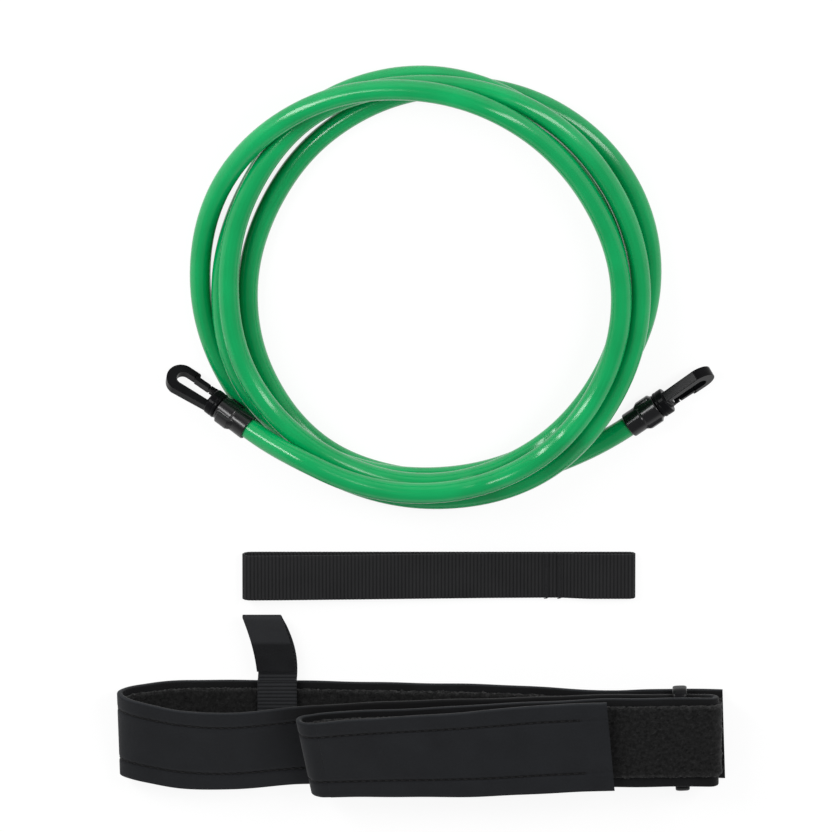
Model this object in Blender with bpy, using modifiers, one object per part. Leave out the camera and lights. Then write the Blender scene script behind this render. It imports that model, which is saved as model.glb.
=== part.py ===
"""Swim resistance band set, laid out flat: a coiled rubber tube with a snap hook
at each end, a webbing anchor strap, and a folded waist belt with its ring.
All sizes are in metres, Z is up and the floor is at Z = 0.
"""
import math

import bpy
import bmesh
import numpy as np
from mathutils import Matrix, Vector

MM = 0.001
TOUCH_GAP = 0.3 * MM

# Rubber tube
TUBE_DIAMETER = 11.0 * MM
COIL_CENTRE = Vector((2.2 * MM, 159.2 * MM, 0.0))
COIL_START_ANGLE = 240.0
COIL_STEP_ANGLE = 30.0
# radius of the coil seen from above, in mm, every 30 degrees from its left end;
# one row is one turn
COIL_RADII = (
    115.8, 114.9, 112.4, 106.6, 102.2, 99.3, 101.9, 108.4, 116.9, 121.2, 118.4, 115.2,
    115.2, 118.0, 120.0, 115.4, 112.5, 111.6, 112.9, 112.2, 113.0, 106.8, 103.6, 105.7,
    107.6, 109.5, 107.4, 105.0, 105.5, 108.4, 112.4, 117.6, 115.8, 108.0, 107.2, 109.9,
    108.2, 106.3, 108.1, 111.4, 117.9, 121.0, 118.3, 110.4, 101.0, 94.0, 93.7, 97.8,
    104.4, 107.6, 117.1)
COIL_LAY_GAP = 1.3 * MM
COIL_POINTS_PER_TURN = 24
COIL_FINE_STEPS = 4
# stretches that were laid before the turns they cross, as degrees along the tube:
# from, to, and the turns over them, from, to
LAID_FIRST = ((512, 672, 850, 1100), (512, 646, 1200, 1440))
LEAN_OF_PILE = 0.364
STEEPEST_CLIMB = 0.40
COIL_EASE = 7.0 * MM

# Snap hooks: each clip's own Z runs from the mouth of its collar to the hook's nose,
# and its own Y points to the side of the back bar
CLIPS = {
    "left": dict(mouth=(-90.9 * MM, 88.2 * MM, 26.4 * MM), heading=149.0, dip=25.5, roll=44.9),
    "right": dict(mouth=(108.9 * MM, 83.1 * MM, 8.4 * MM), heading=35.6, dip=0.0, roll=52.9),
}
# how far each collar's latches are turned about the clip, and how far each hook leans to
# the side of its back bar on its loose swivel, in degrees
LATCH_TURN = {"left": 12.0, "right": -68.0}
BLADE_LEAN = {"left": 4.0, "right": -1.0}
COLLAR_LENGTH = 19.0 * MM
COLLAR_DIAMETER = 13.4 * MM
COLLAR_END_WALL = 3.8 * MM
COLLAR_GROOVE = 0.4 * MM
LATCH_HEIGHT = 1.3 * MM
LATCH_WIDTH = 6.0 * MM
LATCH_START = 8.0 * MM
PLUG_LENGTH = 1.8 * MM
PLUG_CLEARANCE = 0.6 * MM
STEM_DIAMETER = 5.2 * MM
RETAINER_DIAMETER = 9.6 * MM
RETAINER_THICKNESS = 0.8 * MM
STEM_GROOVE_DEPTH = 0.7 * MM
STEM_LIP = 1.0 * MM
FLANGE_DIAMETER = 14.2 * MM
FLANGE_LENGTH = 5.8 * MM
FLANGE_RIDGE = 1.9 * MM
# the blade is the flat part of the hook, narrow at its foot and wide at its nose
BLADE_ROOT = 1.6 * MM
HOOK_LENGTH = 27.8 * MM
FOOT_WIDTH = 12.2 * MM
NOSE_RADIUS = 8.0 * MM
HOOK_THICKNESS = 5.5 * MM
BACK_BAR_FOOT = 3.8 * MM
BACK_BAR_NOSE = 5.1 * MM
SLOT_RADIUS = 3.6 * MM
SLOT_DROP = 0.8 * MM
LIP_LENGTH = 7.4 * MM
LIP_THICKNESS = 1.4 * MM
HOOK_BASE = 1.4 * MM
GATE_WIDTH = 2.5 * MM
GATE_STEP = 5.4 * MM
EAR_HEIGHT = 3.0 * MM
EAR_THICKNESS = 0.9 * MM
EAR_INSET = 0.1 * MM
TRUNNION_RADIUS = 0.5 * MM

# how deep things sit in the collar, counted from its mouth
COLLAR_BORE_END = COLLAR_LENGTH - COLLAR_END_WALL
STEM_GROOVE_END = COLLAR_BORE_END - TOUCH_GAP / 2
STEM_GROOVE_START = STEM_GROOVE_END - RETAINER_THICKNESS - TOUCH_GAP
STEM_END = STEM_GROOVE_START - STEM_LIP
PLUG_END = STEM_END - PLUG_CLEARANCE
PLUG_START = PLUG_END - PLUG_LENGTH
TUBE_IN_COLLAR = PLUG_START - TOUCH_GAP

# Anchor strap
STRAP_LEFT = -95.1 * MM
STRAP_RIGHT = 113.3 * MM
STRAP_Y = -3.0 * MM
STRAP_WIDTH = 25.0 * MM
WEBBING = 1.5 * MM
STRAP_OPENING = 4.6 * MM
SMALL_LOOP_OPENING = 2.2 * MM
BARTACK_X = (64.4 * MM, 73.8 * MM)
# the strap's upper layer, from the small loop to the wide one: along, and height over
# the closed part, as parts of the whole rise
SMALL_LOOP_RISE = ((14.0 * MM, 1.0), (2.0 * MM, 0.16))
WIDE_LOOP_RISE = ((30.0 * MM, 0.12), (95.0 * MM, 0.62), (139.0 * MM, 0.95))
BARTACK_HEIGHT = 0.5 * MM

# Waist belt
BELT_WIDTH = 50.0 * MM
NEOPRENE = 3.0 * MM
PILE = 1.4 * MM
PILE_WIDTH = 40.0 * MM
PILE_SHIFT = 1.2 * MM
HOOK_PATCH_THICKNESS = 1.2 * MM
HOOK_PATCH_LENGTH = 36.0 * MM
# the belt's middle line from its lower end, in mm: along, height and place of its far edge,
# then how much further right and how much lower its near edge lies
BELT_LOWER = (
    (159.8, 1.5, -67.8, 1.6, 0), (124, 1.5, -67.6, 1.4, 0), (104, 1.5, -68.4, 1.2, 0),
    (80, 1.5, -67.4, 1.0, 0), (46, 1.5, -65.5, 0.8, 0), (10, 1.5, -64.3, 0.8, 0),
    (-40, 1.5, -63.4, 0.9, 0), (-85, 1.5, -62.5, 1.1, 0), (-124, 1.5, -62.5, 1.3, 0))
BELT_LEFT_LOOP = (
    (-146, 4.0, -64.0, 1.3, 2.0), (-155.2, 7.7, -64.3, 1.3, 4.6), (-159.0, 14.1, -64.4, 1.3, 7.3),
    (-155.2, 20.5, -65.4, 1.2, 9.9), (-146, 24.4, -66.9, 1.2, 10.8))
BELT_MIDDLE = (
    (-126, 27.0, -70.1, 0.8, 12.2), (-100, 27.0, -71.6, 0.5, 13.6), (-64, 21.5, -69.9, 0, 12.4),
    (-25.7, 17.5, -68.9, 0, 9.0), (35.4, 14.0, -68.1, 0, 4.2), (93.8, 12.0, -66.9, 0, 0),
    (151.6, 11.9, -66.5, 0, 0))
BELT_UPPER = (
    (151.6, 19.9, -65.5, 0.4, 0), (115, 19.9, -66.0, 1.0, 0.2), (93.8, 20.0, -66.2, 2.0, 0.8),
    (46.4, 20.8, -68.3, 4.0, 5.5), (9.6, 22.0, -70.3, 6.0, 9.0), (-25.7, 24.2, -70.9, 7.5, 11.6),
    (-46, 26.3, -71.4, 8.2, 13.8), (-56, 28.0, -72.3, 8.3, 15.0))
BELT_FOLD_TOP = (-56, 38.1, -73.2, 8.3, 15.3)
BELT_FOLD_END = (-52.5, 37.65, -73.2, 8.3, 15.3)
BELT_TAIL = (
    (-52.0, 37.6, -73.2, 8.3, 15.3), (-32.5, 35.0, -72.2, 8.0, 12.6), (-11.4, 33.0, -71.4, 7.5, 10.2),
    (9.6, 31.2, -70.6, 7.0, 7.6), (30.7, 29.8, -69.4, 6.4, 4.8), (46.4, 28.8, -68.3, 5.8, 3.0),
    (62, 28.0, -67.1, 5.2, 1.4), (99.7, 26.7, -65.5, 4.4, 0.9))

BEND_STEP = 8.0
STRAIGHT_STEP = 14

# Rectangular ring on the belt's middle layer, turned a little about Z, in degrees
RING_X = 137.1 * MM
RING_Y = -91.5 * MM
RING_TURN = 1.9
RING_LENGTH = 57.6 * MM
RING_HEIGHT = 13.0 * MM
RING_BAR = 3.0 * MM
RING_DEPTH = 7.6 * MM

# Tether loop sewn to the lower layer
TETHER_WIDTH = 21.5 * MM
TETHER_X = -76.4 * MM
TETHER_ROOT = 18.0 * MM
TETHER_REACH = 38.5 * MM
TETHER_LEAN = -8.4 * MM
TETHER_BEND = 1.7
TETHER_OPENING = 1.6 * MM


def new_collection(name, shown):
    """A collection in the scene; cutters are kept in one that isn't rendered."""
    made = bpy.data.collections.new(name)
    bpy.context.scene.collection.children.link(made)
    made.hide_render = not shown
    return made


def material(name, colour, roughness):
    """A plain surface with the piece's colour and gloss."""
    made = bpy.data.materials.new(name)
    made.use_nodes = True
    shader = made.node_tree.nodes["Principled BSDF"]
    shader.inputs["Base Color"].default_value = (*colour, 1.0)
    shader.inputs["Roughness"].default_value = roughness
    shader.inputs["Metallic"].default_value = 0.0
    return made


def add_piece(name, mesh, surface, matrix=None):
    """A named object in the parts collection."""
    made = bpy.data.objects.new(name, mesh)
    PARTS.objects.link(made)
    mesh.materials.clear()
    mesh.materials.append(surface)
    if matrix is not None:
        made.matrix_world = matrix
    return made


def mesh_of(thing):
    """The finished mesh of an object with a curve or modifiers, which is then removed."""
    bpy.context.view_layer.update()
    graph = bpy.context.evaluated_depsgraph_get()
    mesh = bpy.data.meshes.new_from_object(thing.evaluated_get(graph))
    bpy.data.objects.remove(thing)
    shape = bmesh.new()
    shape.from_mesh(mesh)
    bmesh.ops.remove_doubles(shape, verts=shape.verts, dist=0.00001)
    bmesh.ops.recalc_face_normals(shape, faces=shape.faces)
    shape.to_mesh(mesh)
    shape.free()
    return mesh


def turned(profile, steps=40):
    """A turned mesh about Z from a closed profile of radius and height."""
    line = bpy.data.meshes.new("profile")
    shape = bmesh.new()
    points = [shape.verts.new((radius, 0.0, height)) for radius, height in profile]
    for first, second in zip(points, points[1:] + points[:1]):
        shape.edges.new((first, second))
    shape.to_mesh(line)
    shape.free()
    thing = bpy.data.objects.new("profile", line)
    bpy.context.scene.collection.objects.link(thing)
    screw = thing.modifiers.new("turn", "SCREW")
    screw.steps = steps
    screw.render_steps = steps
    screw.use_merge_vertices = True
    screw.merge_threshold = 0.00001
    return mesh_of(thing)


def plate(outline, thickness):
    """A flat plate in the YZ plane from an outline, as thick as given along X."""
    curve = bpy.data.curves.new("outline", "CURVE")
    curve.dimensions = "2D"
    curve.fill_mode = "BOTH"
    curve.extrude = thickness / 2
    spline = curve.splines.new("POLY")
    spline.points.add(len(outline) - 1)
    for point, (across, along) in zip(spline.points, outline):
        point.co = (across, along, 0.0, 1.0)
    spline.use_cyclic_u = True
    thing = bpy.data.objects.new("outline", curve)
    bpy.context.scene.collection.objects.link(thing)
    mesh = mesh_of(thing)
    mesh.transform(Matrix(((0, 0, 1, 0), (1, 0, 0, 0), (0, 1, 0, 0), (0, 0, 0, 1))))
    return mesh


def box(low, high):
    """A box between two corners."""
    shape = bmesh.new()
    bmesh.ops.create_cube(shape, size=1.0)
    mesh = bpy.data.meshes.new("box")
    shape.to_mesh(mesh)
    shape.free()
    low, high = Vector(low), Vector(high)
    mesh.transform(Matrix.Translation((low + high) / 2) @ Matrix.Diagonal((*(high - low), 1.0)))
    return mesh


def rod(centre, radius, length, sides=20):
    """A round bar along X."""
    shape = bmesh.new()
    turn = Matrix.Rotation(math.pi / 2, 4, "Y")
    bmesh.ops.create_cone(
        shape, cap_ends=True, segments=sides, radius1=radius, radius2=radius, depth=length,
        matrix=Matrix.Translation(centre) @ turn)
    mesh = bpy.data.meshes.new("rod")
    shape.to_mesh(mesh)
    shape.free()
    return mesh


def combine(target, mesh, how):
    """Joins a shape to a piece, or cuts it away, with the tool kept as a hidden cutter."""
    tool = bpy.data.objects.new(f"{target.name}_{how.lower()}_{len(target.modifiers)}", mesh)
    CUTTERS.objects.link(tool)
    tool.matrix_world = target.matrix_world
    tool.hide_render = True
    tool.display_type = "WIRE"
    change = target.modifiers.new(tool.name, "BOOLEAN")
    change.operation = how
    change.solver = "EXACT"
    change.object = tool


def arc(centre, radius, start, end, count):
    """Points on an arc, angles in degrees."""
    return [
        (centre[0] + radius * math.cos(math.radians(angle)), centre[1] + radius * math.sin(math.radians(angle)))
        for angle in np.linspace(start, end, count)]


def smooth_values(knots, places):
    """A smooth curve (Catmull-Rom) through evenly spaced knots, read at the given places."""
    knots = np.asarray(knots, float)
    first = 2 * knots[:1] - knots[1:2]
    last = 2 * knots[-1:] - knots[-2:-1]
    padded = np.concatenate([first, knots, last])
    index = np.clip(places.astype(int), 0, len(knots) - 2)
    part = places - index
    if knots.ndim > 1:
        part = part[:, None]
    a, b, c, d = (padded[index + k] for k in range(4))
    return b + 0.5 * part * (c - a + part * (2 * a - 5 * b + 4 * c - d + part * (3 * (b - c) + d - a)))


def clip_matrix(mouth, heading, dip, roll):
    """Where a clip lies: Z out along the clip, Y to its back bar."""
    heading, dip, roll = (math.radians(angle) for angle in (heading, dip, roll))
    ahead = Vector((math.cos(heading) * math.cos(dip), math.sin(heading) * math.cos(dip), -math.sin(dip)))
    left = Vector((-math.sin(heading), math.cos(heading), 0.0))
    up = ahead.cross(left)
    back = math.cos(roll) * left + math.sin(roll) * up
    side = back.cross(ahead)
    return Matrix.Translation(mouth) @ Matrix((side, back, ahead)).transposed().to_4x4()


def coil_heights(angles, flat):
    """Heights of the turns, each stretch resting on the ones it crosses.

    flat holds the points as seen from above along the lean of the pile. A point that
    is raised by h also moves LEAN_OF_PILE * h away, so two stretches that cross clear
    each other when they are a tube apart along that leaning line.
    """
    lean_angle = math.atan(LEAN_OF_PILE)
    upright, sideways = math.cos(lean_angle), math.sin(lean_angle)
    reach = (TUBE_DIAMETER + COIL_LAY_GAP)
    along = np.concatenate([[0.0], np.cumsum(np.linalg.norm(np.diff(flat, axis=0), axis=1))])
    apart = np.abs(along[:, None] - along[None])
    dx = flat[:, None, 0] - flat[None, :, 0]
    dy = flat[:, None, 1] - flat[None, :, 1]
    across = dx ** 2 + (upright * dy) ** 2
    over = angles[:, None] < angles[None]
    for start, end, other_start, other_end in LAID_FIRST:
        low = (angles > start) & (angles < end)
        high = (angles > other_start) & (angles < other_end)
        over &= ~(low[:, None] & high[None])
        over |= high[:, None] & low[None]
    touching = over & (across < reach ** 2) & (apart > 6 * TUBE_DIAMETER)
    step_up = upright * (np.sqrt(np.maximum(reach ** 2 - across, 0.0)) - sideways * dy)
    step_up = np.where(touching, step_up, -1.0)
    weight = np.exp(-0.5 * (apart / COIL_EASE) ** 2)
    weight /= weight.sum(axis=1, keepdims=True)
    lowest = np.full(len(angles), TUBE_DIAMETER / 2)
    for _ in range(12):
        height = lowest.copy()
        for _ in range(40):
            height = np.maximum(height, (height[None] + step_up).max(axis=1))
        eased = weight @ (height[None] - STEEPEST_CLIMB * apart).max(axis=1)
        lowest = np.maximum(eased, TUBE_DIAMETER / 2)
    return height


def coil_points():
    """The coiled stretch of the tube, finely: angles and points."""
    fine = COIL_POINTS_PER_TURN * COIL_FINE_STEPS
    last = COIL_START_ANGLE + COIL_STEP_ANGLE * (len(COIL_RADII) - 1)
    count = round((last - COIL_START_ANGLE) / 360 * fine) + 1
    angles = np.linspace(COIL_START_ANGLE, last, count)
    radii = MM * smooth_values(COIL_RADII, (angles - COIL_START_ANGLE) / COIL_STEP_ANGLE)
    flat = np.column_stack([np.cos(np.radians(angles)), np.sin(np.radians(angles))]) * radii[:, None]
    height = coil_heights(angles, flat)
    shifted = flat[:, 1] + LEAN_OF_PILE * (height - TUBE_DIAMETER / 2)
    points = np.column_stack([flat[:, 0] + COIL_CENTRE.x, shifted + COIL_CENTRE.y, height])
    return angles, points


def bridge(start, start_way, end, end_way, count):
    """Points on an easy bend between two ends of known direction, without the ends."""
    span = (end - start).length
    made = []
    for part in np.linspace(0, 1, count + 2)[1:-1].tolist():
        two, three = part * part, part * part * part
        point = (2 * three - 3 * two + 1) * start + (3 * two - 2 * three) * end
        point += span * ((three - 2 * two + part) * start_way + (three - two) * end_way)
        made.append(point)
    return made


def tube_route(keep_every):
    """The tube's middle line from the left collar's stop to the right one's."""
    angles, points = coil_points()
    turns = [Vector(point) for point in points]
    inside = Vector((0, 0, TUBE_IN_COLLAR))
    left, right = (clip_matrix(**CLIPS[side]) for side in ("left", "right"))
    left_way = -left.col[2].xyz
    right_way = right.col[2].xyz
    start_way = (turns[1] - turns[0]).normalized()
    end_way = (turns[-1] - turns[-2]).normalized()
    route = [left @ inside, left.translation]
    route += bridge(left.translation, left_way, turns[0], start_way, 2 * COIL_FINE_STEPS // keep_every)
    route += turns[::keep_every]
    route += bridge(turns[-1], end_way, right.translation, right_way, 3 * COIL_FINE_STEPS // keep_every)
    route += [right.translation, right @ inside]
    return route


def least_gap(route):
    """The least distance between the tube's own surfaces, away from where it joins up."""
    fine = []
    for first, second in zip(route, route[1:]):
        steps = max(2, math.ceil((second - first).length / (2 * MM)))
        fine += [first.lerp(second, step / steps) for step in range(steps)]
    points = np.array([tuple(point) for point in fine])
    along = np.concatenate([[0.0], np.cumsum(np.linalg.norm(np.diff(points, axis=0), axis=1))])
    distance = np.linalg.norm(points[:, None] - points[None], axis=2)
    distance[np.abs(along[:, None] - along[None]) < 6 * TUBE_DIAMETER] = 1.0
    return distance.min() - TUBE_DIAMETER, along[-1]


def build_tube():
    """The rubber tube as one unbroken round length."""
    route = tube_route(COIL_FINE_STEPS)
    gap, length = least_gap(route)
    print(f"tube: {length:.3f} m long, least gap to itself {gap / MM:.2f} mm")
    curve = bpy.data.curves.new("tube_path", "CURVE")
    curve.dimensions = "3D"
    curve.bevel_depth = TUBE_DIAMETER / 2
    curve.bevel_resolution = 1
    curve.use_fill_caps = True
    spline = curve.splines.new("POLY")
    spline.points.add(len(route) - 1)
    for point, place in zip(spline.points, route):
        point.co = (*place, 1.0)
    thing = bpy.data.objects.new("tube_path", curve)
    bpy.context.scene.collection.objects.link(thing)
    add_piece("resistance_tube", mesh_of(thing), GREEN)


def build_collar(side, place):
    """The collar that grips the tube and carries the swivelling hook."""
    outer = COLLAR_DIAMETER / 2
    bore = TUBE_DIAMETER / 2 + TOUCH_GAP
    hole = STEM_DIAMETER / 2 + TOUCH_GAP
    wall = COLLAR_BORE_END
    middle = COLLAR_LENGTH / 2
    edge = 0.5 * MM
    profile = [
        (bore, 0), (outer - edge, 0), (outer, edge), (outer, middle - COLLAR_GROOVE),
        (outer - COLLAR_GROOVE, middle), (outer, middle + COLLAR_GROOVE), (outer, COLLAR_LENGTH - edge),
        (outer - edge, COLLAR_LENGTH), (hole, COLLAR_LENGTH), (hole, wall), (bore, wall)]
    collar = add_piece(f"{side}_collar", turned(profile), BLACK, place)
    for way in (1, -1):
        root = (outer - 0.5 * MM) * way
        top = (outer + LATCH_HEIGHT) * way
        end = COLLAR_LENGTH - 1.2 * MM
        outline = [
            (root, LATCH_START), (outer * way, LATCH_START), (top, LATCH_START + 3 * MM),
            (top, end - 1.5 * MM), (outer * way, end), (root, end)]
        latch = plate(outline, LATCH_WIDTH)
        latch.transform(Matrix.Rotation(math.radians(LATCH_TURN[side]), 4, "Z"))
        combine(collar, latch, "UNION")


def build_plug(side, place):
    """The stopper on the tube's end, inside the collar."""
    radius = TUBE_DIAMETER / 2
    edge = radius - 0.6 * MM
    profile = [
        (0, PLUG_START), (radius, PLUG_START), (radius, PLUG_END - 0.6 * MM), (edge, PLUG_END), (0, PLUG_END)]
    add_piece(f"{side}_tube_stopper", turned(profile, 24), BLACK, place)


def build_retainer(side, place):
    """The washer that keeps the swivel stem in the collar."""
    inner = STEM_DIAMETER / 2 - STEM_GROOVE_DEPTH + TOUCH_GAP
    outer = RETAINER_DIAMETER / 2
    end = COLLAR_BORE_END - TOUCH_GAP
    start = end - RETAINER_THICKNESS
    profile = [(inner, start), (outer, start), (outer, end), (inner, end)]
    add_piece(f"{side}_swivel_retainer", turned(profile, 24), STEEL, place)


def hook_ends():
    """Where the hook's blade starts, and the middle of its round nose, along the clip."""
    foot = COLLAR_LENGTH + TOUCH_GAP + FLANGE_LENGTH
    return foot, foot + HOOK_LENGTH - NOSE_RADIUS


def blade_lean(side):
    """The turn of the blade on its flange, towards the back bar."""
    foot = Vector((0, 0, hook_ends()[0]))
    turn = Matrix.Rotation(-math.radians(BLADE_LEAN[side]), 4, "X")
    return Matrix.Translation(foot) @ turn @ Matrix.Translation(-foot)


def hook_outline():
    """The blade's side view: back bar, round nose and a lip over the gate, on a short base."""
    foot, nose = hook_ends()
    half_foot = FOOT_WIDTH / 2
    slot_right = NOSE_RADIUS - BACK_BAR_NOSE
    slot_left = slot_right - 2 * SLOT_RADIUS
    lip_in = LIP_THICKNESS - NOSE_RADIUS
    lip_end = nose - LIP_LENGTH
    base = foot + HOOK_BASE
    outline = [(-half_foot, foot - BLADE_ROOT), (half_foot, foot - BLADE_ROOT), (half_foot, foot)]
    outline += arc((0, nose), NOSE_RADIUS, 4, 180, 22)
    outline += [(-NOSE_RADIUS, lip_end + 0.8 * MM), (0.5 * MM - NOSE_RADIUS, lip_end), (lip_in, lip_end)]
    outline += [(lip_in, nose - GATE_STEP), (slot_left, nose - GATE_STEP)]
    outline += arc((slot_left + SLOT_RADIUS, nose - SLOT_DROP), SLOT_RADIUS, 180, 0, 11)
    outline += [(half_foot - BACK_BAR_FOOT, base), (-half_foot, base)]
    return outline


def gate_hinge():
    """The gate's hinge point across and along the upright blade."""
    return (GATE_WIDTH - FOOT_WIDTH) / 2, hook_ends()[0] + HOOK_BASE + TOUCH_GAP + GATE_WIDTH / 2


def build_hook(side, place):
    """The swivelling hook: stem, flange, plate with its slot, and ears for the gate."""
    stem = STEM_DIAMETER / 2
    outer = FLANGE_DIAMETER / 2
    start = COLLAR_LENGTH + TOUCH_GAP
    foot, _ = hook_ends()
    groove_start, groove_end = STEM_GROOVE_START, STEM_GROOVE_END
    groove = stem - STEM_GROOVE_DEPTH
    edge = 0.5 * MM
    ridge = start + FLANGE_RIDGE
    profile = [
        (0, STEM_END), (stem - edge, STEM_END), (stem, STEM_END + edge),
        (stem, groove_start), (groove, groove_start), (groove, groove_end), (stem, groove_end), (stem, start),
        (outer - edge, start), (outer, start + edge), (outer, ridge - 0.3 * MM), (outer - edge, ridge),
        (outer, ridge + 0.3 * MM), (outer, foot - edge), (outer - edge, foot), (0, foot)]
    hook = add_piece(f"{side}_hook", turned(profile), BLACK, place)
    blade = plate(hook_outline(), HOOK_THICKNESS)
    across, along = gate_hinge()
    half = HOOK_THICKNESS / 2
    ears = []
    for way in (1, -1):
        faces = sorted((way * (half - EAR_THICKNESS), way * (half - EAR_INSET)))
        ear_low = (faces[0], across - GATE_WIDTH / 2 + EAR_INSET, foot + HOOK_BASE - 0.5 * MM)
        ear_high = (faces[1], across + GATE_WIDTH / 2, foot + HOOK_BASE + EAR_HEIGHT)
        ears.append(box(ear_low, ear_high))
    hole = rod((0, across, along), TRUNNION_RADIUS + TOUCH_GAP, HOOK_THICKNESS + 2 * MM)
    for mesh, how in ((blade, "UNION"), (ears[0], "UNION"), (ears[1], "UNION"), (hole, "DIFFERENCE")):
        mesh.transform(blade_lean(side))
        combine(hook, mesh, how)


def build_gate(side, place):
    """The sprung gate: a slim bar on its trunnions, closing inside the hook's lip."""
    across, along = gate_hinge()
    half = GATE_WIDTH / 2
    top = hook_ends()[1] - GATE_STEP - TOUCH_GAP
    tip_out = LIP_THICKNESS + TOUCH_GAP - NOSE_RADIUS
    tip_in = tip_out + GATE_WIDTH
    shoulder = along - half + EAR_HEIGHT + TOUCH_GAP
    knuckle = arc((across, along), half, 180, 360, 9)
    knuckle += [(across + half, shoulder + 1 * MM), (across - half, shoulder + 1 * MM)]
    bar = [(across - half, shoulder), (across + half, shoulder), (tip_in, top), (tip_out + 0.4 * MM, top)]
    bar += [(tip_out, top - 0.6 * MM)]
    to_hinge = Matrix.Translation((0, -across, -along))
    gate_place = place @ blade_lean(side) @ to_hinge.inverted()
    knuckle_plate = plate(knuckle, HOOK_THICKNESS - 2 * (EAR_THICKNESS + TOUCH_GAP))
    knuckle_plate.transform(to_hinge)
    gate = add_piece(f"{side}_gate", knuckle_plate, BLACK, gate_place)
    bar_plate = plate(bar, HOOK_THICKNESS - 0.2 * MM)
    bar_plate.transform(to_hinge)
    combine(gate, bar_plate, "UNION")
    combine(gate, rod((0, 0, 0), TRUNNION_RADIUS, HOOK_THICKNESS), "UNION")


def even_path(rows, spacing):
    """The same path, with points an even distance apart."""
    along = np.concatenate([[0.0], np.cumsum(np.linalg.norm(np.diff(rows[:, :2], axis=0), axis=1))])
    places = np.linspace(0, along[-1], max(2, round(along[-1] / spacing)))
    return np.column_stack([np.interp(places, along, column) for column in rows.T])


def eased_path(rows, spacing, softness):
    """The path with its corners softened, and its two ends where they were."""
    rows = even_path(rows, spacing)
    reach = math.ceil(3 * softness / spacing)
    weight = np.exp(-0.5 * (np.arange(-reach, reach + 1) * spacing / softness) ** 2)
    weight /= weight.sum()
    ends = [2 * rows[0] - rows[reach:0:-1], rows, 2 * rows[-1] - rows[-2:-reach - 2:-1]]
    padded = np.concatenate(ends)
    return np.column_stack([np.convolve(column, weight, "valid") for column in padded.T])


def stations_to_keep(path):
    """Indices of the points that a band needs: close together where it bends."""
    way = np.diff(path[:, :2], axis=0)
    heading = np.unwrap(np.arctan2(way[:, 1], way[:, 0]))
    keep = [0]
    for index in range(1, len(heading)):
        turn = abs(heading[index] - heading[keep[-1]])
        if turn > math.radians(BEND_STEP) or index - keep[-1] > STRAIGHT_STEP:
            keep.append(index)
    return keep + [len(path) - 1]


def side_path(path, offset):
    """The path moved to one side, along its normal."""
    way = np.gradient(path[:, :2], axis=0)
    way /= np.linalg.norm(way, axis=1, keepdims=True)
    moved = path.copy()
    moved[:, 0] -= offset * way[:, 1]
    moved[:, 1] += offset * way[:, 0]
    return moved


def ribbon(name, stations, width, thickness, surface, closed=False):
    """A flat band swept through stations of along, height and middle of its width."""
    mesh = bpy.data.meshes.new(name)
    shape = bmesh.new()
    edges = []
    for side in (-0.5, 0.5):
        row = [shape.verts.new((x, middle + side * width, z)) for x, z, middle in stations]
        after = row[1:] + row[:1] if closed else row[1:]
        edges += [shape.edges.new(pair) for pair in zip(row, after)]
    bmesh.ops.bridge_loops(shape, edges=edges)
    bmesh.ops.recalc_face_normals(shape, faces=shape.faces)
    shape.to_mesh(mesh)
    shape.free()
    band = add_piece(name, mesh, surface)
    solid = band.modifiers.new("thickness", "SOLIDIFY")
    solid.thickness = thickness
    solid.offset = 0.0
    solid.use_even_offset = True
    return band


def belt_layer(name, path, keep, centre, width, shift, thickness, surface):
    """One layer of the belt: a flat band whose faces run parallel to the belt's middle line.

    centre is how far the layer's own middle lies to one side of that line, and shift how
    far it lies towards the belt's far edge. The path's last two columns are how much
    further along and how much lower the belt's near edge lies than its far edge.
    """
    mesh = bpy.data.meshes.new(name)
    shape = bmesh.new()
    chains = []
    for side, face in ((-0.5, 0.5), (0.5, 0.5), (0.5, -0.5), (-0.5, -0.5)):
        part = 0.5 - (side * width + shift) / BELT_WIDTH
        row = [
            shape.verts.new((
                x + (part - 0.5) * lean, far - part * math.sqrt(BELT_WIDTH ** 2 - drop ** 2), z - part * drop))
            for x, z, far, lean, drop in side_path(path, centre + face * thickness)[keep]]
        chains.append([shape.edges.new(pair) for pair in zip(row, row[1:])])
    for first, second in zip(chains, chains[1:] + chains[:1]):
        bmesh.ops.bridge_loops(shape, edges=first + second)
    bmesh.ops.holes_fill(shape, edges=shape.edges, sides=4)
    bmesh.ops.triangulate(shape, faces=shape.faces, quad_method="SHORT_EDGE")
    bmesh.ops.recalc_face_normals(shape, faces=shape.faces)
    shape.to_mesh(mesh)
    shape.free()
    add_piece(name, mesh, surface)


def half_round(low, high, bulge):
    """The half-round of a fold from one row of the belt to another, to the right or the left."""
    low, high = np.array(low, float), np.array(high, float)
    radius = (high[1] - low[1]) / 2
    made = []
    for angle in np.linspace(-90, 90, 13)[1:-1]:
        row = low + (angle + 90) / 180 * (high - low)
        row[0] += bulge * radius * math.cos(math.radians(angle))
        row[1] = low[1] + radius * (1 + math.sin(math.radians(angle)))
        made.append(row)
    return made


def belt_path(rows):
    """A fine, eased path of the belt in metres, kept off the floor on both edges."""
    path = eased_path(np.array(rows) * MM, 0.5 * MM, 1.2 * MM)
    path[:, 1] = np.maximum(path[:, 1], NEOPRENE / 2)
    path[:, 4] = np.minimum(path[:, 4], path[:, 1] - NEOPRENE / 2)
    return path


def smooth_rows(rows):
    """Rows read smoothly, ten for each hand-placed one."""
    return smooth_values(rows, np.linspace(0, len(rows) - 1, 10 * len(rows)))


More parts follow.
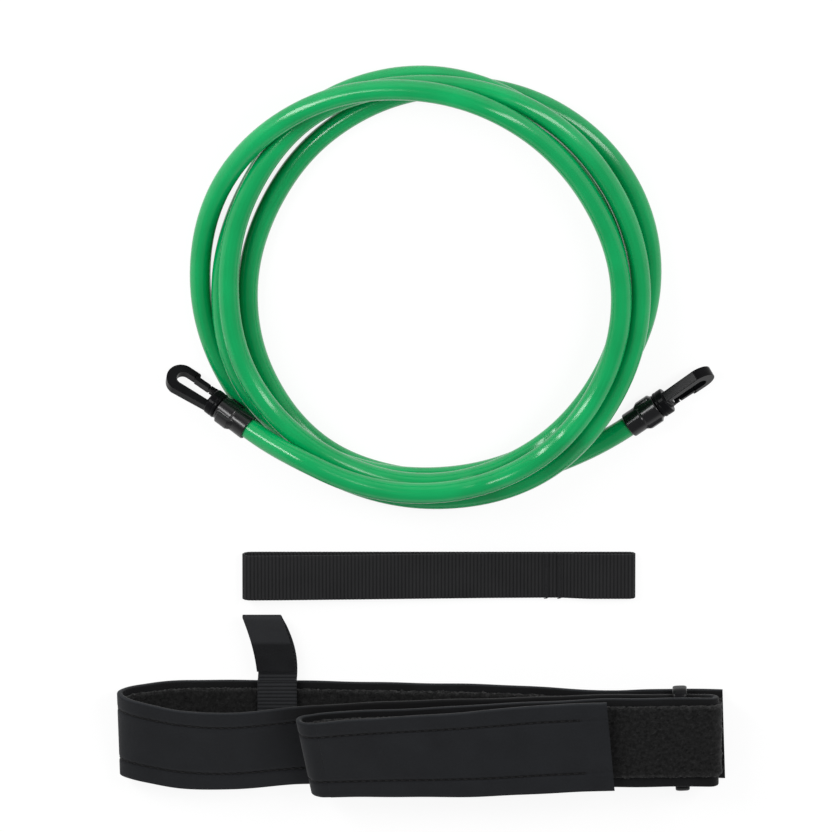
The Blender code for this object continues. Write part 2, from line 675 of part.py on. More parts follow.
def build_belt():
    """The neoprene band with its pile tape, in a fixed length and a free tail."""
    lower = smooth_rows(BELT_LOWER + BELT_LEFT_LOOP + BELT_MIDDLE)
    right = half_round(BELT_MIDDLE[-1], BELT_UPPER[0], 1)
    upper = smooth_rows(BELT_UPPER)
    left = half_round(BELT_UPPER[-1], BELT_FOLD_TOP, -1)
    body = belt_path(np.concatenate([lower, right, upper, left, [BELT_FOLD_TOP, BELT_FOLD_END]]))
    tail = belt_path(smooth_rows(BELT_TAIL))
    pile_side = -(NEOPRENE / 2 + TOUCH_GAP + PILE / 2)
    patch_side = -(NEOPRENE / 2 + TOUCH_GAP + HOOK_PATCH_THICKNESS / 2)
    keep = stations_to_keep(body)
    belt_layer("belt_band", body, keep, 0, BELT_WIDTH, 0, NEOPRENE, NEOPRENE_BLACK)
    belt_layer("belt_pile", body, keep, pile_side, PILE_WIDTH, PILE_SHIFT, PILE, PILE_BLACK)
    keep = np.array(stations_to_keep(tail))
    belt_layer("belt_tail", tail, keep, 0, BELT_WIDTH, 0, NEOPRENE, NEOPRENE_BLACK)
    patch_start = tail[-1, 0] - HOOK_PATCH_LENGTH
    under = keep[tail[keep, 0] < patch_start - 2 * MM]
    belt_layer("belt_tail_pile", tail, under, pile_side, PILE_WIDTH, PILE_SHIFT, PILE, PILE_BLACK)
    held = keep[tail[keep, 0] > patch_start]
    belt_layer("hook_patch", tail, held, patch_side, PILE_WIDTH, PILE_SHIFT, HOOK_PATCH_THICKNESS, PILE_BLACK)


def build_ring():
    """The rectangular ring that slides along the belt's middle layer."""
    low = NEOPRENE + TOUCH_GAP + PILE + TOUCH_GAP
    middle = (RING_X, RING_Y, low + RING_HEIGHT / 2)
    half = (RING_DEPTH / 2, RING_LENGTH / 2, RING_HEIGHT / 2)
    place = Matrix.Translation(middle) @ Matrix.Rotation(math.radians(RING_TURN), 4, "Z")
    ring = add_piece("belt_ring", box([-size for size in half], half), BLACK, place)
    soften = ring.modifiers.new("edges", "BEVEL")
    soften.width = 1.5 * MM
    soften.segments = 2
    inner = (RING_DEPTH, half[1] - RING_BAR, half[2] - RING_BAR)
    combine(ring, box([-size for size in inner], inner), "DIFFERENCE")


def build_tether():
    """The webbing loop sewn to the belt: its sewn root and the free loop."""
    edge = BELT_LOWER[-2][2] * MM
    bottom = NEOPRENE + TOUCH_GAP + PILE + TOUCH_GAP
    half = TETHER_WIDTH / 2
    root_low = (TETHER_X - half, edge - TETHER_ROOT, bottom)
    root_high = (TETHER_X + half, edge + 1.0 * MM, bottom + 2 * WEBBING)
    add_piece("tether_root", box(root_low, root_high), WEBBING_BLACK)
    start = edge + 1.0 * MM + TOUCH_GAP
    rise = WEBBING + TETHER_OPENING / 2
    levels = (bottom + WEBBING / 2, bottom + WEBBING / 2 + rise + TETHER_OPENING / 2)
    radius = (levels[1] - levels[0]) / 2
    turn_y = edge + TETHER_REACH - radius
    turn = arc((turn_y, levels[0] + radius), radius, -90, 90, 9)
    places = np.linspace(start, turn_y, 7)[:-1].tolist()
    out = [(y, levels[0]) for y in places]
    back = [(y, levels[1]) for y in places[::-1]]
    length = turn_y + radius - start
    path = [(y, z, TETHER_X + TETHER_LEAN * ((y - start) / length) ** TETHER_BEND) for y, z in out + turn + back]
    loop = ribbon("tether_loop", path, TETHER_WIDTH, WEBBING, WEBBING_BLACK)
    loop.data.transform(Matrix(((0, 1, 0, 0), (1, 0, 0, 0), (0, 0, 1, 0), (0, 0, 0, 1))))
    loop.data.flip_normals()


def build_strap():
    """The anchor strap: one closed webbing loop, sewn across to leave a small end loop."""
    low = WEBBING / 2
    closed = low + WEBBING + TOUCH_GAP
    wide = low + WEBBING + STRAP_OPENING
    small = low + WEBBING + SMALL_LOOP_OPENING
    left_radius = (wide - low) / 2
    right_radius = (small - low) / 2
    left_x = STRAP_LEFT + WEBBING / 2 + left_radius
    right_x = STRAP_RIGHT - WEBBING / 2 - right_radius
    top = [(BARTACK_X[1] + away, closed + part * (small - closed)) for away, part in SMALL_LOOP_RISE]
    top += [(BARTACK_X[1], closed), (BARTACK_X[0], closed)]
    top += [(BARTACK_X[0] - away, closed + part * (wide - closed)) for away, part in WIDE_LOOP_RISE]
    path = arc((right_x, low + right_radius), right_radius, -90, 90, 9) + top
    path += arc((left_x, low + left_radius), left_radius, 90, 270, 11)
    stations = [(x, z, STRAP_Y) for x, z in path]
    ribbon("anchor_strap", stations, STRAP_WIDTH, WEBBING, WEBBING_BLACK, closed=True)
    seat = closed + WEBBING / 2 + TOUCH_GAP
    half = STRAP_WIDTH / 2 + 0.4 * MM
    bar_low = (BARTACK_X[0], STRAP_Y - half, seat)
    bar_high = (BARTACK_X[1], STRAP_Y + half, seat + BARTACK_HEIGHT)
    add_piece("anchor_bartack", box(bar_low, bar_high), THREAD)


for thing in list(bpy.data.objects):
    bpy.data.objects.remove(thing)

PARTS = new_collection("parts", True)
CUTTERS = new_collection("cutters", False)
GREEN = material("green_rubber", (0.01, 0.40, 0.10), 0.35)
BLACK = material("black_plastic", (0.012, 0.012, 0.014), 0.25)
STEEL = material("washer_steel", (0.35, 0.35, 0.36), 0.4)
WEBBING_BLACK = material("black_webbing", (0.017, 0.017, 0.018), 0.8)
NEOPRENE_BLACK = material("charcoal_neoprene", (0.017, 0.019, 0.022), 0.85)
PILE_BLACK = material("black_pile", (0.009, 0.008, 0.007), 0.95)
THREAD = material("black_thread", (0.014, 0.014, 0.015), 0.7)

build_tube()
for clip_side, clip_place in CLIPS.items():
    clip_frame = clip_matrix(**clip_place)
    build_collar(clip_side, clip_frame)
    build_plug(clip_side, clip_frame)
    build_retainer(clip_side, clip_frame)
    build_hook(clip_side, clip_frame)
    build_gate(clip_side, clip_frame)
build_strap()
build_belt()
build_ring()
build_tether()
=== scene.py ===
"""Swim resistance band set, laid out flat: its looks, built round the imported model.

Everything is in metres and in the model's own frame, with Z up and the floor at Z = 0.
"""
import math

import bpy
import numpy as np
from mathutils import Matrix, Vector


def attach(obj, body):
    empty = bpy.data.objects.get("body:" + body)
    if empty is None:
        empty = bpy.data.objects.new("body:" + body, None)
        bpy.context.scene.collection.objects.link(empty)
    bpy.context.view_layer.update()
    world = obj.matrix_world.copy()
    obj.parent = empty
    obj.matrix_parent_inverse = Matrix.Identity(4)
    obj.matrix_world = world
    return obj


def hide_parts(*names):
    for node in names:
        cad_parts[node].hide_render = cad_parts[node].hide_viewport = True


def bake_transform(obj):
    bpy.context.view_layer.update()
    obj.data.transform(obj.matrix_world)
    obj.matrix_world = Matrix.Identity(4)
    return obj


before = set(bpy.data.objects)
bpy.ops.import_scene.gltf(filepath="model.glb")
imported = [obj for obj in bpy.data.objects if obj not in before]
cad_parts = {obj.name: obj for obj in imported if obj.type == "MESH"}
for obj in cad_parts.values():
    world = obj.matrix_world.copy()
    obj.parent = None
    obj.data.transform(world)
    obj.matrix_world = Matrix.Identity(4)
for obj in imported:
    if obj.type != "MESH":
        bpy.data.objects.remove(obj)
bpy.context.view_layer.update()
MM = 0.001


# Camera. The photograph looks down at a slant from beyond the coil, with a lens so long
# that the picture is nearly free of perspective.
PICTURE_PIXELS = 832
PIXELS_PER_METRE = 1900
PICTURE_WIDTH = PICTURE_PIXELS / PIXELS_PER_METRE
PICTURE_CENTRE = Vector((-3.03 * MM, 85.5 * MM, 0.0))
CAMERA_TILT = math.radians(70)
CAMERA_DISTANCE = 12.0
SENSOR_WIDTH = 36.0

back = Vector((0.0, math.cos(CAMERA_TILT), math.sin(CAMERA_TILT)))
picture_up = Vector((0.0, math.sin(CAMERA_TILT), -math.cos(CAMERA_TILT)))
camera = bpy.data.objects.new("camera", bpy.data.cameras.new("camera"))
camera.data.sensor_width = SENSOR_WIDTH
camera.data.lens = SENSOR_WIDTH * CAMERA_DISTANCE / PICTURE_WIDTH
camera.data.clip_end = 2 * CAMERA_DISTANCE
turn = Matrix((picture_up.cross(back), picture_up, back)).transposed().to_4x4()
camera.matrix_world = Matrix.Translation(PICTURE_CENTRE + CAMERA_DISTANCE * back) @ turn
bpy.context.scene.collection.objects.link(camera)
bpy.context.scene.camera = camera


class Value:
    """A shader socket that takes part in sums: + - * and ** add Math nodes."""

    def __init__(self, shading, socket):
        self.shading = shading
        self.socket = socket

    def worked(self, operation, other=0.0, swapped=False):
        """A Math node of any kind on this value and another one."""
        pair = (other, self) if swapped else (self, other)
        return self.shading.node("ShaderNodeMath", {"operation": operation}, dict(enumerate(pair)))

    def sine(self):
        return self.worked("SINE")

    def size(self):
        """The value without its sign."""
        return self.worked("ABSOLUTE")

    def positive(self):
        """The value, or 0 where it is less."""
        return self.worked("MAXIMUM")

    def clipped(self):
        """The value held between 0 and 1."""
        return self.positive().worked("MINIMUM", 1.0)

    def __add__(self, other):
        return self.worked("ADD", other)

    def __radd__(self, other):
        return self.worked("ADD", other, True)

    def __sub__(self, other):
        return self.worked("SUBTRACT", other)

    def __rsub__(self, other):
        return self.worked("SUBTRACT", other, True)

    def __mul__(self, other):
        return self.worked("MULTIPLY", other)

    def __rmul__(self, other):
        return self.worked("MULTIPLY", other, True)

    def __truediv__(self, other):
        return self.worked("DIVIDE", other)

    def __pow__(self, other):
        return self.worked("POWER", other)


class Shading:
    """A node tree under construction."""

    def __init__(self, tree):
        self.tree = tree

    def node(self, kind, settings=None, sockets=None, output=0):
        """Adds a node: its settings first, then its sockets' values or links."""
        made = self.tree.nodes.new(kind)
        for name, value in (settings or {}).items():
            if name == "stops":
                ramp = made.color_ramp.elements
                while len(ramp) < len(value):
                    ramp.new(0.5)
                for stop, (place, colour) in zip(ramp, value):
                    stop.position = place
                    stop.color = colour
            else:
                setattr(made, name, value)
        self.feed(made, sockets or {})
        return Value(self, made.outputs[output])

    def feed(self, node, sockets):
        """Sets or links the sockets of a node."""
        for name, value in sockets.items():
            if isinstance(value, Value):
                self.tree.links.new(value.socket, node.inputs[name])
            else:
                node.inputs[name].default_value = value

    def place(self):
        """Where a point lies in the object, in metres."""
        return self.node("ShaderNodeTexCoord", output="Object")

    def flat_place(self):
        """Where a point lies on the piece's UV map, in metres along it and around it."""
        return self.node("ShaderNodeTexCoord", output="UV")

    def axes(self, vector):
        """The X, Y and Z of a vector, each a value."""
        split = self.node("ShaderNodeSeparateXYZ", {}, {0: vector}).socket.node
        return [Value(self, output) for output in split.outputs]

    def noise(self, place, scale, detail):
        """Soft random spots, about 0 to 1, scale of them to the metre."""
        return self.node("ShaderNodeTexNoise", {}, {"Vector": place, "Scale": scale, "Detail": detail})

    def ramp(self, tone, *stops):
        """The colours of the stops, (tone, colour) each, blended by a tone."""
        return self.node("ShaderNodeValToRGB", {"stops": stops}, {0: tone})

    def relief(self, height, strength, depth):
        """A bump of a height from 0 to 1, depth metres deep."""
        sockets = {"Height": height, "Strength": strength, "Distance": depth}
        return self.node("ShaderNodeBump", {}, sockets)

    def dress(self, colour, roughness, normal=None):
        """Gives the tree's main shader its colour, roughness and relief."""
        sockets = {"Base Color": colour, "Roughness": roughness}
        if normal is not None:
            sockets["Normal"] = normal
        self.feed(self.tree.nodes["Principled BSDF"], sockets)


def paint(red, green, blue):
    """A colour as seen on a screen, 0 to 255, turned into the shader's linear values."""
    seen = np.array([red, green, blue]) / 255
    linear = np.where(seen <= 0.04045, seen / 12.92, ((seen + 0.055) / 1.055) ** 2.4)
    return (*linear.tolist(), 1.0)


def surface(name, **fixed):
    """A new material and its shading, with those of its shader's sockets that never vary."""
    made = bpy.data.materials.new(name)
    made.use_nodes = True
    shading = Shading(made.node_tree)
    sockets = {socket.replace("_", " "): value for socket, value in fixed.items()}
    shading.feed(made.node_tree.nodes["Principled BSDF"], sockets)
    return made, shading


# Floor and light. A white table under a broad soft light from each side, in a room that is
# pale at the horizon and dimmer overhead.
FLOOR_SIZE = 60.0
FLOOR_DEPTH = 0.02 * MM
TABLE_WHITE = paint(238, 238, 238)
GLOW, GLOW_SHARE = 1.06, 0.84
LAMP_WIDTH, LAMP_LENGTH = 0.22, 0.70
LAMP_DISTANCE = 1.1
LAMPS = {
    "left": (Vector((-0.60, 0.49, 0.62)), 7.0),
    "right": (Vector((0.57, 0.37, 0.73)), 5.0),
}
ROOM_WHITE = (1.0, 1.0, 1.0, 1.0)
ROOM_DIM = (0.30, 0.30, 0.31, 1.0)

floor_mesh = bpy.data.meshes.new("floor")
half = FLOOR_SIZE / 2
floor_corners = [(-half, -half, 0), (half, -half, 0), (half, half, 0), (-half, half, 0)]
floor_mesh.from_pydata(floor_corners, [], [(0, 1, 2, 3)])
floor = bpy.data.objects.new("floor", floor_mesh)
floor.location.z = -FLOOR_DEPTH
bpy.context.scene.collection.objects.link(floor)
table, shading = surface("white_table", Base_Color=TABLE_WHITE, Roughness=1.0, Specular_IOR_Level=0.0)
direct, mirrored, through = (
    shading.node("ShaderNodeLightPath", output=f"Is {ray} Ray")
    for ray in ("Camera", "Glossy", "Transmission"))
shown = direct.worked("MAXIMUM", mirrored).worked("MAXIMUM", through)
glow = shading.node("ShaderNodeEmission", {}, {"Color": ROOM_WHITE, "Strength": GLOW})
plain = Value(shading, shading.tree.nodes["Principled BSDF"].outputs[0])
lifted = shading.node("ShaderNodeMixShader", {}, {0: GLOW_SHARE, 1: plain, 2: glow})
mixed = shading.node("ShaderNodeMixShader", {}, {0: shown, 1: plain, 2: lifted})
shading.feed(shading.tree.nodes["Material Output"], {"Surface": mixed})
floor_mesh.materials.append(table)

for name, (direction, power) in LAMPS.items():
    lamp = bpy.data.lights.new(f"{name}_softbox", "AREA")
    lamp.shape = "RECTANGLE"
    lamp.size, lamp.size_y = LAMP_WIDTH, LAMP_LENGTH
    lamp.energy = power
    holder = bpy.data.objects.new(lamp.name, lamp)
    holder.location = PICTURE_CENTRE + LAMP_DISTANCE * direction.normalized()
    holder.rotation_euler = direction.to_track_quat("Z", "Y").to_euler()
    bpy.context.scene.collection.objects.link(holder)

room = bpy.data.worlds.new("room")
bpy.context.scene.world = room
room.use_nodes = True
shading = Shading(room.node_tree)
overhead = shading.axes(shading.node("ShaderNodeTexCoord"))[2]
shade = shading.ramp(overhead, (0.30, ROOM_WHITE), (0.62, ROOM_DIM))
shading.feed(room.node_tree.nodes["Background"], {"Color": shade, "Strength": 1.0})
bpy.context.scene.view_settings.view_transform = "Standard"


# Tube. One length of green latex, 11 mm thick, wound by hand into a loose coil of about four
# and a half turns that lie on each other. Its ends go into the collars of the two clips.
TUBE_DIAMETER = 11.0 * MM
TUBE_SIDES = 32
TUBE_SPACING, TUBE_SOFTNESS = 3.5 * MM, 2.5 * MM
COIL_CENTRE = Vector((2.2 * MM, 159.2 * MM, 0.0))
COIL_START_ANGLE = 240.0
COIL_STEP_ANGLE = 30.0
# radius of the coil seen from above, in mm, every 30 degrees from its left end; a row is a turn
COIL_RADII = (
    115.8, 114.9, 112.4, 106.6, 102.2, 99.3, 101.9, 108.4, 116.9, 121.2, 118.4, 115.2,
    115.2, 118.0, 120.0, 115.4, 112.5, 111.6, 112.9, 112.2, 113.0, 106.8, 103.6, 105.7,
    107.6, 109.5, 107.4, 105.0, 105.5, 108.4, 112.4, 117.6, 115.8, 108.0, 107.2, 109.9,
    108.2, 106.3, 108.1, 111.4, 117.9, 121.0, 118.3, 110.4, 101.0, 94.0, 93.7, 97.8,
    104.4, 107.6, 117.1)
COIL_LAY_GAP = 1.3 * MM
COIL_POINTS_PER_TURN = 96
# stretches laid before the turns they cross, as degrees along the tube: from, to, and the
# turns over them, from, to
LAID_FIRST = ((512, 672, 850, 1100), (512, 646, 1200, 1440))
LEAN_OF_PILE = 0.364
STEEPEST_CLIMB = 0.40
COIL_EASE = 7.0 * MM
EASING_ROUNDS, LIFTING_ROUNDS = 12, 40
TUBE_IN_COLLAR = 10.1 * MM
SHARP_ANGLE = math.radians(50)
CLIPS = {
    "left": dict(mouth=(-90.9 * MM, 88.2 * MM, 26.4 * MM), heading=149.0, dip=25.5, roll=44.9),
    "right": dict(mouth=(108.9 * MM, 83.1 * MM, 8.4 * MM), heading=35.6, dip=0.0, roll=52.9),
}


def clip_matrix(mouth, heading, dip, roll):
    """Where a clip lies: Z out along the clip, Y to its back bar."""
    heading, dip, roll = (math.radians(angle) for angle in (heading, dip, roll))
    level = math.cos(dip)
    ahead = Vector((math.cos(heading) * level, math.sin(heading) * level, -math.sin(dip)))
    left = Vector((-math.sin(heading), math.cos(heading), 0.0))
    up = ahead.cross(left)
    bar = math.cos(roll) * left + math.sin(roll) * up
    side = bar.cross(ahead)
    return Matrix.Translation(mouth) @ Matrix((side, bar, ahead)).transposed().to_4x4()


def smooth_values(knots, places):
    """A smooth curve (Catmull-Rom) through evenly spaced knots, read at the given places."""
    knots = np.asarray(knots, float)
    first = 2 * knots[:1] - knots[1:2]
    last = 2 * knots[-1:] - knots[-2:-1]
    padded = np.concatenate([first, knots, last])
    index = np.clip(places.astype(int), 0, len(knots) - 2)
    part = places - index
    if knots.ndim > 1:
        part = part[:, None]
    a, b, c, d = (padded[index + k] for k in range(4))
    return b + 0.5 * part * (c - a + part * (2 * a - 5 * b + 4 * c - d + part * (3 * (b - c) + d - a)))


def coil_heights(angles, flat):
    """Heights of the turns: each point is lifted until the ones it crosses are a tube away,
    measured along the lean of the pile, and the climb up to each crossing is eased."""
    lean_angle = math.atan(LEAN_OF_PILE)
    upright, sideways = math.cos(lean_angle), math.sin(lean_angle)
    reach = TUBE_DIAMETER + COIL_LAY_GAP
    along = np.concatenate([[0.0], np.cumsum(np.linalg.norm(np.diff(flat, axis=0), axis=1))])
    apart = np.abs(along[:, None] - along[None])
    dx = flat[:, None, 0] - flat[None, :, 0]
    dy = flat[:, None, 1] - flat[None, :, 1]
    across = dx ** 2 + (upright * dy) ** 2
    over = angles[:, None] < angles[None]
    for start, end, other_start, other_end in LAID_FIRST:
        low = (angles > start) & (angles < end)
        high = (angles > other_start) & (angles < other_end)
        over &= ~(low[:, None] & high[None])
        over |= high[:, None] & low[None]
    touching = over & (across < reach ** 2) & (apart > 6 * TUBE_DIAMETER)
    step_up = upright * (np.sqrt(np.maximum(reach ** 2 - across, 0.0)) - sideways * dy)
    step_up = np.where(touching, step_up, -1.0)
    weight = np.exp(-0.5 * (apart / COIL_EASE) ** 2)
    weight /= weight.sum(axis=1, keepdims=True)
    lowest = np.full(len(angles), TUBE_DIAMETER / 2)
    for _ in range(EASING_ROUNDS):
        height = lowest.copy()
        for _ in range(LIFTING_ROUNDS):
            height = np.maximum(height, (height[None] + step_up).max(axis=1))
        eased = weight @ (height[None] - STEEPEST_CLIMB * apart).max(axis=1)
        lowest = np.maximum(eased, TUBE_DIAMETER / 2)
    return height


def coil_points():
    """The coil's middle line: a circle whose radius follows the knots, shifted by the pile's
    lean as it rises."""
    last = COIL_START_ANGLE + COIL_STEP_ANGLE * (len(COIL_RADII) - 1)
    count = round((last - COIL_START_ANGLE) / 360 * COIL_POINTS_PER_TURN) + 1
    angles = np.linspace(COIL_START_ANGLE, last, count)
    radii = MM * smooth_values(COIL_RADII, (angles - COIL_START_ANGLE) / COIL_STEP_ANGLE)
    flat = np.column_stack([np.cos(np.radians(angles)), np.sin(np.radians(angles))]) * radii[:, None]
    height = coil_heights(angles, flat)
    shifted = flat[:, 1] + LEAN_OF_PILE * (height - TUBE_DIAMETER / 2)
    return np.column_stack([flat[:, 0] + COIL_CENTRE.x, shifted + COIL_CENTRE.y, height])


def bridge(start, start_way, end, end_way, count):
    """Points of a cubic (Hermite) bend between two ends of known direction, without the ends."""
    span = np.linalg.norm(end - start)
    part = np.linspace(0, 1, count + 2)[1:-1, None]
    two, three = part ** 2, part ** 3
    bend = (2 * three - 3 * two + 1) * start + (3 * two - 2 * three) * end
    return bend + span * ((three - 2 * two + part) * start_way + (three - two) * end_way)


def tube_route():
    """The tube's middle line from the left collar's stop to the right one's."""
    turns = coil_points()
    inside = Vector((0, 0, TUBE_IN_COLLAR))
    left, right = (clip_matrix(**CLIPS[side]) for side in ("left", "right"))
    start_way = turns[1] - turns[0]
    end_way = turns[-1] - turns[-2]
    start_way /= np.linalg.norm(start_way)
    end_way /= np.linalg.norm(end_way)
    left_mouth, right_mouth = np.array(left.translation), np.array(right.translation)
    lead_in = bridge(left_mouth, -np.array(left.col[2].xyz), turns[0], start_way, 8)
    lead_out = bridge(turns[-1], end_way, right_mouth, np.array(right.col[2].xyz), 12)
    start, end = np.array(left @ inside), np.array(right @ inside)
    return np.vstack([start, left_mouth, lead_in, turns, lead_out, right_mouth, end])


def resampled(path, spacing):
    """The same path with points an even distance apart."""
    along = np.concatenate([[0.0], np.cumsum(np.linalg.norm(np.diff(path[:, :3], axis=0), axis=1))])
    places = np.linspace(0, along[-1], max(2, round(along[-1] / spacing)))
    return np.column_stack([np.interp(places, along, column) for column in path.T])


def softened(path, spacing, softness):
    """An even path smoothed by a bell-shaped average, its two ends kept."""
    path = resampled(path, spacing)
    reach = math.ceil(3 * softness / spacing)
    weight = np.exp(-0.5 * (np.arange(-reach, reach + 1) * spacing / softness) ** 2)
    weight /= weight.sum()
    before, after = 2 * path[0] - path[reach:0:-1], 2 * path[-1] - path[-2:-reach - 2:-1]
    padded = np.concatenate([before, path, after])
    return np.column_stack([np.convolve(column, weight, "valid") for column in padded.T])


def grid_mesh(name, points, along=None, around=None, close_along=False):
    """A mesh from grids of points, each closed around and, if wanted, along.

    points has the shape (rows, columns, 3), or (copies, rows, columns, 3). Each point is
    joined to the next one along and the next one around, and open ends get one flat face.
    along and around are the UV map's values in metres, one more than the rows or columns
    where the grid closes on itself. The mesh is turned so that its volume is positive.
    """
    rows, columns = points.shape[-3:-1]
    copies = points.reshape(-1, rows, columns, 3)
    along = np.arange(rows + close_along) * MM if along is None else along
    around = np.arange(columns + 1) * MM if around is None else around
    i, j = np.meshgrid(np.arange(rows if close_along else rows - 1), np.arange(columns), indexing="ij")
    i, j = i.ravel(), j.ravel()
    corner_i = np.column_stack([i, i + 1, i + 1, i])
    corner_j = np.column_stack([j, j, j + 1, j + 1])
    faces = corner_i % rows * columns + corner_j % columns
    flat = copies[0].reshape(-1, 3) - copies[0].reshape(-1, 3).mean(axis=0)
    a, b, c, d = (flat[faces[:, k]] for k in range(4))
    volume = np.sum(a * np.cross(b, c)) + np.sum(a * np.cross(c, d))
    order = 1 if volume > 0 else -1
    faces = faces[:, ::order]
    corner_i, corner_j = corner_i[:, ::order], corner_j[:, ::order]
    sheet = faces.tolist()
    uv = [np.column_stack([along[corner_i.ravel()], around[corner_j.ravel()]])]
    if not close_along:
        ring = np.arange(columns)
        sheet += [ring[::order].tolist(), ((rows - 1) * columns + ring)[::-order].tolist()]
        uv += [np.column_stack([np.full(columns, along[0]), around[ring[::order]]])]
        uv += [np.column_stack([np.full(columns, along[rows - 1]), around[ring[::-order]]])]
    count = rows * columns
    polygons = [
        [index + copy * count for index in face] for copy in range(len(copies)) for face in sheet]
    mesh = bpy.data.meshes.new(name)
    mesh.from_pydata(copies.reshape(-1, 3).tolist(), [], polygons)
    layer = mesh.uv_layers.new(name="UVMap")
    layer.data.foreach_set("uv", np.tile(np.concatenate(uv), (len(copies), 1)).ravel())
    mesh.shade_smooth()
    mesh.set_sharp_from_angle(angle=SHARP_ANGLE)
    return mesh


def piece(name, mesh, finish, body, replaced=()):
    """An object for a mesh, riding on a body and standing for some of the model's nodes."""
    made = bpy.data.objects.new(name, mesh)
    bpy.context.scene.collection.objects.link(made)
    mesh.materials.clear()
    mesh.materials.append(finish)
    if replaced:
        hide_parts(*replaced)
    if body:
        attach(made, body)
    return made


def rings_round(path, radius, sides):
    """Rings of points square to a path: path + radius * (cos t * side + sin t * up), where
    side is level and up is square to both. radius may change along the path."""
    way = np.gradient(path, axis=0)
    way /= np.linalg.norm(way, axis=1, keepdims=True)
    side = np.cross(way, [0.0, 0.0, 1.0])
    side /= np.linalg.norm(side, axis=1, keepdims=True)
    up = np.cross(side, way)
    turn = np.linspace(0, 2 * math.pi, sides, endpoint=False)[None, :, None]
    radius = np.broadcast_to(radius, len(path))[:, None, None]
    return path[:, None] + radius * (np.cos(turn) * side[:, None] + np.sin(turn) * up[:, None])


def latex_finish():
    """Green latex: a soft gloss, faint lines along its length and a bloom of fine dust."""
    made, shading = surface("green_latex", Specular_IOR_Level=0.42, IOR=1.5)
    place = shading.place()
    stretch = {"Vector": shading.flat_place(), "Scale": (18.0, 900.0, 1.0)}
    lines = shading.noise(shading.node("ShaderNodeMapping", {}, stretch), 1.0, 2.0)
    cloud = shading.noise(place, 38.0, 2.0)
    grain = shading.noise(place, 1600.0, 2.0)
    tone = cloud * 0.6 + lines * 0.3 + grain * 0.1
    colour = shading.ramp(tone, (0.30, paint(0, 140, 74)), (0.70, paint(0, 161, 89)))
    roughness = 0.14 + cloud * 0.09 + grain * 0.04
    shading.dress(colour, roughness, shading.relief(lines * 0.5 + grain * 0.5, 0.5, 0.03 * MM))
    return made


route = softened(tube_route(), TUBE_SPACING, TUBE_SOFTNESS)
along = np.linspace(0, np.linalg.norm(np.diff(route, axis=0), axis=1).sum(), len(route))
around = np.linspace(0, math.pi * TUBE_DIAMETER, TUBE_SIDES + 1)
mesh = grid_mesh("latex_tube", rings_round(route, TUBE_DIAMETER / 2, TUBE_SIDES), along, around)
tube = piece("latex_tube", mesh, latex_finish(), "coil", ["resistance_tube"])


# Collars. Each is a moulded black sleeve that grips the tube, with a shallow groove at half
# its length and a latch bulge on either side, towards the hook.
COLLAR_LENGTH = 19.0 * MM
COLLAR_RADIUS = 6.7 * MM
COLLAR_BORE = 5.8 * MM
STEM_HOLE = 2.9 * MM
COLLAR_END_WALL = 3.8 * MM
GROOVE_DEPTH, GROOVE_WIDTH = 0.35 * MM, 0.35 * MM
LATCH_HEIGHT = 1.4 * MM
LATCH_START, LATCH_END = 7.0 * MM, 18.2 * MM
LATCH_RISE, LATCH_FALL = 3.2 * MM, 1.6 * MM
LATCH_WIDTH = 6.4 * MM
LATCH_FLANK = (-0.5 * MM, 0.4 * MM)
LATCH_TURN = {"left": 12.0, "right": -68.0}
EDGE_ROUNDING = 0.6 * MM
COLLAR_SIDES, COLLAR_ROWS = 120, 90


def smooth_step(value, start, end):
    """0 before start, 1 after end, and 3 t^2 - 2 t^3 between them."""
    part = np.clip((value - start) / (end - start), 0, 1)
    return part * part * (3 - 2 * part)


def collar_surface():
    """A sleeve turned about Z: outside, far end, stem hole, bore, and back to the mouth.

    The outside's radius is a plain cylinder, less a groove shaped like a bell, plus two
    latches: a ramp along Z times a flat-topped bump across. A row is one turn's angle.
    """
    corner = np.radians(np.linspace(0, 90, 6))
    edge_radius = COLLAR_RADIUS - EDGE_ROUNDING * (1 - np.sin(corner))
    start = np.column_stack([edge_radius, EDGE_ROUNDING * (1 - np.cos(corner))])
    end = np.column_stack([start[:, 0], COLLAR_LENGTH - start[:, 1]])[::-1]
    height = np.linspace(EDGE_ROUNDING, COLLAR_LENGTH - EDGE_ROUNDING, COLLAR_ROWS)
    side = np.column_stack([np.full(COLLAR_ROWS, COLLAR_RADIUS), height])
    wall = COLLAR_LENGTH - COLLAR_END_WALL
    inner = [
        (STEM_HOLE, COLLAR_LENGTH), (STEM_HOLE, wall), (COLLAR_BORE, wall),
        (COLLAR_BORE, EDGE_ROUNDING / 2), (COLLAR_BORE + EDGE_ROUNDING / 2, 0)]
    radius, height = np.concatenate([start[:-1], side, end[1:], inner]).T
    turn = np.linspace(0, 2 * math.pi, COLLAR_SIDES, endpoint=False)[:, None]
    outside = radius > COLLAR_BORE + EDGE_ROUNDING
    ramp = smooth_step(height, LATCH_START, LATCH_START + LATCH_RISE)
    ramp *= 1 - smooth_step(height, LATCH_END - LATCH_FALL, LATCH_END)
    flank = [LATCH_WIDTH / 2 + away for away in LATCH_FLANK]
    latch = ramp * (1 - smooth_step(np.abs(radius * np.cos(turn)), *flank))
    groove = GROOVE_DEPTH * np.exp(-((height - COLLAR_LENGTH / 2) / GROOVE_WIDTH) ** 2)
    radius = radius + np.where(outside, LATCH_HEIGHT * latch - groove * (1 - latch), 0.0)
    sleeve = radius * np.cos(turn), radius * np.sin(turn), height
    return np.stack(np.broadcast_arrays(*sleeve), axis=2)


